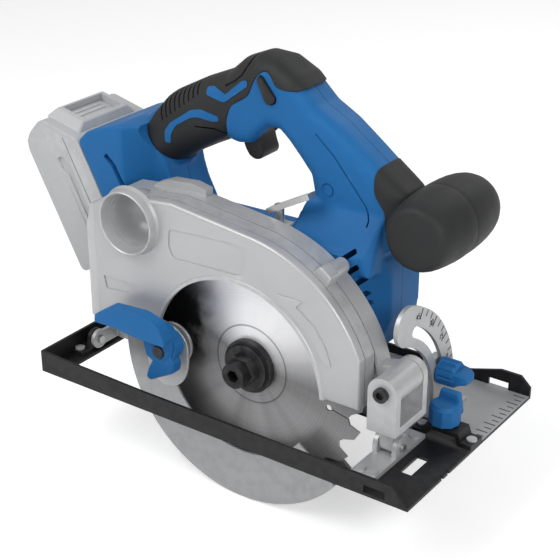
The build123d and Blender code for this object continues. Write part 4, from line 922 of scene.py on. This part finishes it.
class SAW_OT_housing(bpy.types.Operator):
    """Moulded housing with its motor barrel, the rubber grip and the front grip"""
    bl_idname = "saw.housing"
    bl_label = "Housing and grips"

    screws = ((-118, 118), (-60, 93.5), (45, 140), (62, 86))
    grip_screw = (-66, 166)
    ring_at = (32.5, 141)
    ring = ((3.2, -3), (4.5, -3), (4.5, 0.9), (3.2, 0.9), (3.2, -3))
    rib_count, rib_pitch, rib_width = 9, 4.1, 1.5
    rib_start = (-97, 171)
    rib_run = (0.855, 0.518)
    motor_slot = ((22, -2), (34, -2), (34, 2), (22, 2))
    motor_slots = 10

    def execute(self, context):
        voxel = context.scene.saw_detail.voxel
        shell = self.blended(voxel)
        self.grip(voxel)
        self.front_grip(shell)
        self.blue(shell)
        return {"FINISHED"}

    def blended(self, voxel):
        """Handle, body, barrel and rear block grown into one moulding."""
        barrel = turned(BARREL_PROFILE, on_side(MOTOR))
        body = carve(slab(FRONT_BODY, BODY_NEAR, BODY_FAR, corner=4), upright(BODY_CORNER))
        body = rounded(body, 1.5)
        bar = centred(LOWER_BAR, 17, corner=3, edge=4)
        raw = joined(loft(HANDLE_STATIONS), body, bar, barrel, hull(SHOULDER), self.rear_block())
        return shaped(raw,
                      ("REMESH", {"mode": "VOXEL", "voxel_size": voxel}),
                      ("SMOOTH", {"factor": 0.5, "iterations": 3}))

    def rear_block(self):
        """The block that takes the battery, with a short taper to its neck under the grip."""
        start, end = BLOCK_TAPER
        plan = ((-200, PACK_HALF), (start, PACK_HALF), (end, BLOCK_NECK))
        wedge = hull([(x, y * side, z) for x, y in plan for side in (-1, 1) for z in (40, 200)])
        wide = common(centred(REAR_BLOCK, PACK_HALF, corner=2.5), wedge)
        neck = centred(REAR_BLOCK, BLOCK_NECK, corner=2.5, edge=3)
        return joined(rounded(wide, 2.5), neck)

    def trigger_room(self):
        """The slot in the handle that the trigger moves in."""
        return centred(TRIGGER_ROOM, TRIGGER_HALF + TRIGGER_GAP)

    def screw_hole(self, point):
        """The well over a housing screw, from the far side."""
        return drum(on_side(point), SCREW_R, SCREW_SEAT, THROUGH)

    def grip(self, voxel):
        """Rubber over the rear of the handle, ribbed at its back, with two inlays flush in it."""
        raw = common(loft(GRIP_STATIONS), through(GRIP_ZONE, 3))
        smooth = shaped(carve(raw, self.trigger_room()),
                        ("REMESH", {"mode": "VOXEL", "voxel_size": voxel * 0.8}),
                        ("SMOOTH", {"factor": 0.5, "iterations": 4}))
        lines = [through(strip(line, 1.2)) for line in GRIP_LINES]
        along = Vector(self.rib_run)
        across = Vector((along.y, -along.x))
        for number in range(self.rib_count):
            top = Vector(self.rib_start) + along * self.rib_pitch * number
            ends = (top - across * 6, top + across * (12 - 0.5 * number))
            lines.append(through(strip(ends, self.rib_width)))
        core = grown(smooth, -0.9)
        rubber = carve(smooth.copy(), joined(*lines))
        rubber = fused(rubber, core.copy())
        rubber = carve(rubber, self.screw_hole(self.grip_screw))
        piece("grip_rubber", rubber, "saw_body", "soft_black", ("grip_right", "grip_left"))
        for number, chevron in enumerate(CHEVRONS, 1):
            inlay = common(grown(smooth, 0.4), through(chevron, 1.2))
            piece(f"grip_inlay_{number}", carve(inlay, core.copy()), "saw_body", "blue_plastic")
        smooth.free()
        core.free()

    def front_grip(self, shell):
        """Collar on the front of the handle, and the knob across the saw."""
        collar = common(grown(shell, 0.5), through(COLLAR_ZONE, 3))
        piece("front_grip_collar", collar, "saw_body", "soft_black")
        knob = shaped(turned(KNOB_PROFILE, on_side(KNOB)), ("SUBSURF", {"levels": 1, "render_levels": 1}))
        piece("front_grip_knob", knob, "saw_body", "soft_black", ("front_grip_right", "front_grip_left"))

    def blue(self, shell):
        """The blue moulding with its vents and lines, cut back where the rubber lies."""
        lock_off = centred(LOCK_OFF, LOCK_OFF_ROOM, corner=2)
        zones = fused(through(GRIP_ZONE, 3), self.trigger_room(), lock_off)
        zones = joined(zones, through(COLLAR_ZONE, 3))
        vents = [slab(strip(line, 3.3), BODY_NEAR - 6, BODY_NEAR + 11, corner=1) for line in VENT_LINES]
        vents += [self.motor_vent(360 / self.motor_slots * spoke) for spoke in range(self.motor_slots)]
        lines = joined(both_sides(strip(STYLE_LINE, 1.1), HANDLE_HALF, 0.9),
                       both_sides(strip(BLOCK_SLOT, 4.0), PACK_HALF, 4, 0.8))
        wells = [self.screw_hole(point) for point in (*self.screws, self.grip_screw)]
        holes = joined(turned(self.ring, on_side(self.ring_at, -HANDLE_HALF)), *wells)
        shell = carve(shell, zones, joined(*vents), lines, holes)
        piece("housing_shell", shell, "saw_body", "blue_plastic", ("housing_right", "housing_left"))

    def motor_vent(self, angle):
        """One of the slots round the motor's far end."""
        slot = spun(slab(self.motor_slot, 46, THROUGH, corner=1.9), angle, "Y")
        bmesh.ops.translate(slot, verts=slot.verts[:], vec=at(*on_side(MOTOR)))
        return slot


class SAW_OT_guard(bpy.types.Operator):
    """Near half of the fixed guard, with its dust port and recesses"""
    bl_idname = "saw.guard"
    bl_label = "Fixed guard"

    name_plate = ((-48.8, 113.8), (0.3, 116.3), (8.6, 114.8), (6.3, 97.7), (1.3, 96.3), (-46.6, 94.8),
                  (-50, 102.2))
    pocket = ((-104.3, 67.9), (-78.2, 68), (-78.6, 61.2), (-102.5, 59.2))
    arrow = ((30.3, 92.6), (49.1, 92.4), (44.5, 88), (57.2, 78.9), (65.3, 67.7), (69.4, 56.5), (64.1, 56.1),
             (58.7, 65.7), (49.2, 76.5), (37.1, 85.3), (33.7, 85.5))

    # The lug by reach and direction, the rear corner in plan, and rims as offsets to their radius.
    lug = ((92, 49.8), (101.2, 51.4), (101.2, 56.6), (92, 58.2))
    rear_outside = ((-124, -69), (-106, -69), (-124, -60))
    rear_inside = ((-124, -69), (-99, -69), (-124, -56.8))
    lip = ((0, -0.7), (2.2, -0.7), (3, 0.4), (3, 1.6), (0, 1.6), (0, -0.7))
    funnel = ((-0.4, 4), (5, 0.6), (3.8, -2), (3.4, -5), (3, -6.6), (2.4, -7), (1.8, -6.4), (0.8, -1.5),
              (-0.4, 4))
    sweep_end, sweep_steps = radians(82), 20
    fine_steps = 96

    def outline(self, inset=0.0):
        """Side view of the guard, with the sweep over the blade."""
        reach = GUARD_R - inset
        nose = GUARD_NOSE - inset
        low = atan2(sqrt(reach ** 2 - nose ** 2), nose)
        steps = self.sweep_steps
        turns = [low + (self.sweep_end - low) * step / steps for step in range(steps + 1)]
        sweep = [(reach * cos(turn), ARBOR[1] + reach * sin(turn)) for turn in turns]
        tail = [(x + inset * (x < -100), z - inset) for x, z in GUARD_TAIL]
        floor = GUARD_FLOOR - (5 if inset else 0)
        return [(nose, floor)] + sweep + tail + [(GUARD_TAIL[-1][0] + inset, floor)]

    def rim(self, profile, radius, centre, steps=64):
        """A ring on the guard's near face."""
        return turned([(radius + out, y) for out, y in profile], on_side(centre, GUARD_NEAR), steps=steps)

    def execute(self, context):
        cover = slab(self.outline(), GUARD_NEAR, GUARD_FAR, near_edge=2.2, segments=7)
        lug = [polar(ARBOR, *spot) for spot in self.lug]
        lug = slab(lug, GUARD_NEAR + 7.6, GUARD_FAR, corner=1.5, near_edge=1.2)
        hollow = carve(slab(self.outline(GUARD_WALL), GUARD_NEAR + GUARD_WALL, BLADE_Y + 1),
                       upright(self.rear_inside))
        window = drum(on_side(ARBOR), WINDOW_R, GUARD_NEAR - 5, BLADE_Y + 1, steps=self.fine_steps)
        plate = slab(self.name_plate, GUARD_NEAR - 2, GUARD_NEAR + 0.7, corner=3)
        pocket = slab(self.pocket, GUARD_NEAR - 2, GUARD_NEAR + 0.8, corner=1)
        hole = drum(on_side(PORT), PORT_R + 0.2, GUARD_NEAR - 12, GUARD_NEAR + 8)
        seam = carve(slab(self.outline(-2), GUARD_NEAR + 6.2, GUARD_NEAR + 6.9),
                     slab(self.outline(0.8), GUARD_NEAR + 5, GUARD_NEAR + 8))
        rear = upright(self.rear_outside)
        cover = carve(fused(cover, lug), rear, hollow, window, plate, pocket, hole, seam)
        arrow = slab(self.arrow, GUARD_NEAR - 0.8, GUARD_NEAR + 1, corner=1.2, near_edge=0.4)
        lip = common(self.rim(self.lip, WINDOW_R, ARBOR, self.fine_steps),
                     slab(self.outline(), GUARD_NEAR - 5, BLADE_Y))
        cover = fused(cover, arrow, lip, self.rim(self.funnel, PORT_R, PORT))
        piece("guard_near_half", cover, "saw_body", "cast_alloy", ("guard_cover",), sharp=14)
        cup = turned(THROAT_PROFILE, on_side(PORT, GUARD_NEAR))
        piece("dust_port_throat", cup, "saw_body", "cast_alloy", sharp=60)
        return {"FINISHED"}


class SAW_OT_levers(bpy.types.Operator):
    """Lower guard lever, trigger and lock-off button"""
    bl_idname = "saw.levers"
    bl_label = "Levers and switch"

    def execute(self, context):
        bar = slab(LEVER_BAR, *BAR_FACES, corner=1.4, near_edge=1.6, far_edge=1, segments=1)
        neck = turned(LEVER_NECK, (-49, 0, 37.5), steps=40)
        hook = slab(LEVER_HOOK, *HOOK_FACES, corner=1.4, near_edge=1.2, far_edge=1, segments=1)
        tab = slab(LEVER_TAB, *TAB_FACES, corner=1.2, near_edge=1, far_edge=1, segments=1)
        hole = drum(on_side(LEVER_AT), 4.4, -90, -77.9, steps=32)
        lever = carve(fused(bar, hook, neck, tab), hole)
        piece("guard_thumb_lever", lever, "lower_guard_set", "blue_plastic", ("guard_lever",), edge=0.4)
        arm = slab(LEVER_ARM, *ARM_FACES, corner=6, near_edge=0.4)
        piece("guard_arm_plate", arm, "lower_guard_set", "guard_alloy", look="cast_alloy")
        trigger = centred(TRIGGER, TRIGGER_HALF, corner=1.6, edge=3.6, segments=5)
        piece("trigger_shell", trigger, "trigger_lever", "black_plastic", ("trigger",))
        button = centred(scaled(LOCK_OFF, 0.93), LOCK_OFF_HALF, corner=2, edge=1.2)
        piece("lock_off_cap", button, "lock_off", "black_plastic", ("lock_off_button",))
        return {"FINISHED"}


class SAW_OT_knobs(bpy.types.Operator):
    """Ribbed clamp knobs of the bevel and of the fence bar"""
    bl_idname = "saw.knobs"
    bl_label = "Clamp knobs"

    bevel_wing = ((9, 8, 4.2), (16, 7.2, 3.8), (21, 4.6, 3))
    fence_wing = ((8.5, 3, 5), (8.5, 9, 5), (6.4, 4.4, 19), (6.4, 8.6, 19))
    flutes, flute_at, flute_r = 12, 9.2, 1.4

    def execute(self, context):
        x, y, z = BEVEL_KNOB
        spots = [polar((y, z), self.flute_at, 360 / self.flutes * n) for n in range(self.flutes)]
        flutes = [drum((x, *spot), self.flute_r, 2, 16, "X", 16) for spot in spots]
        barrel = carve(turned(BEVEL_BARREL, BEVEL_KNOB, "X", 48), joined(*flutes))
        wing = hull([(x + a, y + b * side, z + c * up) for a, b, c in self.bevel_wing
                     for side in (-1, 1) for up in (-1, 1)])
        knob = fused(barrel, rounded(wing, 1.5, angle=20))
        piece("bevel_clamp_knob", knob, "bevel_clamp", "blue_plastic", ("bevel_knob",), edge=0.3)
        x, y, z = FENCE_KNOB
        stem = turned(FENCE_STEM, FENCE_KNOB, "Z", 10)
        wing = hull([(x + a * side, y + b, z + c) for a, b, c in self.fence_wing for side in (-1, 1)])
        knob = fused(stem, rounded(wing, 1.4, angle=20))
        piece("fence_clamp_knob", knob, "fence_clamp", "blue_plastic", ("fence_knob",), edge=0.5)
        return {"FINISHED"}


class SAW_OT_battery(bpy.types.Operator):
    """Battery pack with its split line, channels, plain label panel and release button"""
    bl_idname = "saw.battery"
    bl_label = "Battery"

    outline = ((-44, 0.3), (-44, 47), (48, 47), (55, 42), (61, 25), (39, 0.3))
    channel = ((-40, 15.5), (26, 15.5), (33, 20), (33, 24), (25, 24), (20, 20.5), (-40, 20.5))
    label = ((-41, 24), (14, 24), (20, 28), (20, 41), (-41, 41))
    split = ((-50, 12), (44, 12))
    rail_neck = ((-70, -4), (-70, 4.4), (18.4, 4.4), (18.4, -4))
    rail_lips = ((-70, 3.6), (-70, 8.4), (18.4, 8.4), (18.4, 3.6))
    # The sloping top, and what stands on it about the button's middle.
    button_at = (52, 14.7)
    slope = (0.665, 0.746)
    crown = ((-15, 29, -1), (15, 29, -1), (-11.5, 22, 5.6), (11.5, 22, 5.6))
    pocket = ((-9.3, -18.5, -6.2), (9.3, 18.5, 8))
    button = ((-8.8, -18, -3.5), (8.8, 18, 1.2))
    ribs = (-4.5, 0, 4.5)

    def at_pack(self, s, t):
        """A point of the side view from one in the pack's own lie."""
        x, z = PACK_AT
        return (x - s * sin(PACK_TILT) - t * cos(PACK_TILT), z + s * cos(PACK_TILT) - t * sin(PACK_TILT))

    def lie(self, points):
        """An outline of the side view from one in the pack's own lie."""
        return [self.at_pack(*point) for point in points]

    def on_slope(self, bm):
        """Moves a shape from the origin to the button's place on the sloping top."""
        s, t = self.button_at
        x, z = self.at_pack(s, t)
        ahead = Vector(self.at_pack(s + self.slope[0], t + self.slope[1])) - Vector((x, z))
        out = Vector(self.at_pack(s + self.slope[1], t - self.slope[0])) - Vector((x, z))
        columns = ((ahead.x, 0, ahead.y), (0, 1, 0), (out.x, 0, out.y))
        turn = Matrix(columns).transposed().to_4x4()
        bmesh.ops.transform(bm, matrix=Matrix.Translation(at(x, 0, z)) @ turn, verts=bm.verts[:])
        bmesh.ops.recalc_face_normals(bm, faces=bm.faces[:])
        return bm

    def execute(self, context):
        case = centred(self.lie(self.outline), PACK_HALF, corner=5, edge=5, segments=4)
        frame = hull([(x, y * side, z) for x, y, z in self.crown for side in (-1, 1)])
        frame = self.on_slope(rounded(frame, 1.4, angle=15))
        cuts = (self.on_slope(box(*self.pocket)),
                both_sides(strip(self.lie(self.split), 0.8), PACK_HALF, 0.9),
                both_sides(self.lie(self.channel), PACK_HALF, 1.3, 1.2),
                centred(self.lie(self.rail_neck), 13.4),
                centred(self.lie(self.rail_lips), 17.4))
        case = carve(fused(case, frame), *cuts)
        for side in (-1, 1):
            near, far = sorted((side * (PACK_HALF - 2), side * (PACK_HALF + 0.6)))
            panel = slab(self.lie(self.label), near, far, corner=2, near_edge=0.4, far_edge=0.4)
            case = fused(case, panel)
        piece("battery_shell", case, "battery", "pack_plastic", ("battery_case", "battery_cover"), edge=0.4)
        button = self.on_slope(box(*self.button, 0.9, 3))
        ribs = [self.on_slope(box((x - 0.9, -13, 0.6), (x + 0.9, 13, 2.2), 0.5)) for x in self.ribs]
        piece("battery_release", fused(button, *ribs), "battery_latch", "pack_plastic", ("battery_button",))
        return {"FINISHED"}


class SAW_OT_scales(bpy.types.Operator):
    """Degree scale on the bevel quadrant and the ticks along the front of the base"""
    bl_idname = "saw.scales"
    bl_label = "Scales"

    digits = {
        "0": ((0, 0), (1, 0), (1, 1.8), (0, 1.8), (0, -0.1)),
        "1": ((0.5, 0), (0.5, 1.9)),
        "3": ((0, 0), (1, 0), (1, 0.9), (0.2, 0.9), (1, 0.9), (1, 1.8), (0, 1.8)),
        "4": ((0.8, 0), (0.8, 1.8), (0, 0.7), (1.2, 0.7)),
        "5": ((0, 0), (1, 0), (1, 1), (0, 1), (0, 1.8), (1, 1.8)),
    }

    zero = 17
    tick_r, number_r = 81.2, 75.6
    ink = (QUAD_FACE - 0.2, QUAD_FACE + 0.15)

    def execute(self, context):
        marks = []
        for step in range(10):
            turn = self.zero + 5 * step
            length = 7.0 if step % 3 == 0 else 4.0
            ends = [polar(TILT, reach, turn) for reach in (self.tick_r - length, self.tick_r)]
            marks.append(facing(strip(ends, 0.7), *self.ink))
        piece("bevel_scale", joined(*marks, *self.numbers()), "base", "black_steel", look="scale_ink")
        ticks = []
        for step in range(19):
            y = -38 + 5 * step
            length = 7.5 if step % 2 == 0 else 4.5
            ticks.append(box((137.5 - length, y - 0.35, 1.8), (137.5, y + 0.35, 2.12)))
        piece("cut_scale", joined(*ticks), "base", "black_steel", look="scale_ink")
        return {"FINISHED"}

    def numbers(self):
        """Plain degree numbers beside the long ticks."""
        made = []
        for text in ("0", "15", "30", "45"):
            y, z = polar(TILT, self.number_r, self.zero + int(text) + 2.6)
            for place, digit in enumerate(text):
                shift = 2.5 * (place - (len(text) - 1) / 2) - 0.7
                stroke = [(y + shift + 1.5 * px, z + 1.8 * pz - 1.6) for px, pz in self.digits[digit]]
                made += [facing(strip(line, 0.45), *self.ink) for line in zip(stroke, stroke[1:])]
        return made


SETTINGS = {"saw_colours": SawColours, "saw_detail": SawDetail, "saw_stage": SawStage}
OPERATORS = (SAW_OT_stage, SAW_OT_metalwork, SAW_OT_housing, SAW_OT_guard, SAW_OT_levers, SAW_OT_knobs,
             SAW_OT_battery, SAW_OT_scales)


class SAW_PT_panel(bpy.types.Panel):
    """Lists the settings and the steps that dress the saw"""
    bl_idname = "SAW_PT_panel"
    bl_label = "Circular saw"
    bl_space_type = "VIEW_3D"
    bl_region_type = "UI"
    bl_category = "Saw"

    def draw(self, context):
        for group, kind in SETTINGS.items():
            for key in kind.__annotations__:
                self.layout.prop(getattr(context.scene, group), key)
        for operator in OPERATORS:
            self.layout.operator(operator.bl_idname)


CLASSES = (*SETTINGS.values(), *OPERATORS, SAW_PT_panel)


def register():
    """Registers the classes and the settings on the scene."""
    for cls in CLASSES:
        bpy.utils.register_class(cls)
    for name, kind in SETTINGS.items():
        setattr(bpy.types.Scene, name, bpy.props.PointerProperty(type=kind))


def unregister():
    """Takes the settings and the classes away again."""
    for name in SETTINGS:
        delattr(bpy.types.Scene, name)
    for cls in reversed(CLASSES):
        bpy.utils.unregister_class(cls)


def main():
    """Dresses the saw in order."""
    register()
    bpy.ops.saw.stage()
    bpy.ops.saw.metalwork()
    bpy.ops.saw.housing()
    bpy.ops.saw.guard()
    bpy.ops.saw.levers()
    bpy.ops.saw.knobs()
    bpy.ops.saw.battery()
    bpy.ops.saw.scales()


if __name__ == "__main__":
    main()
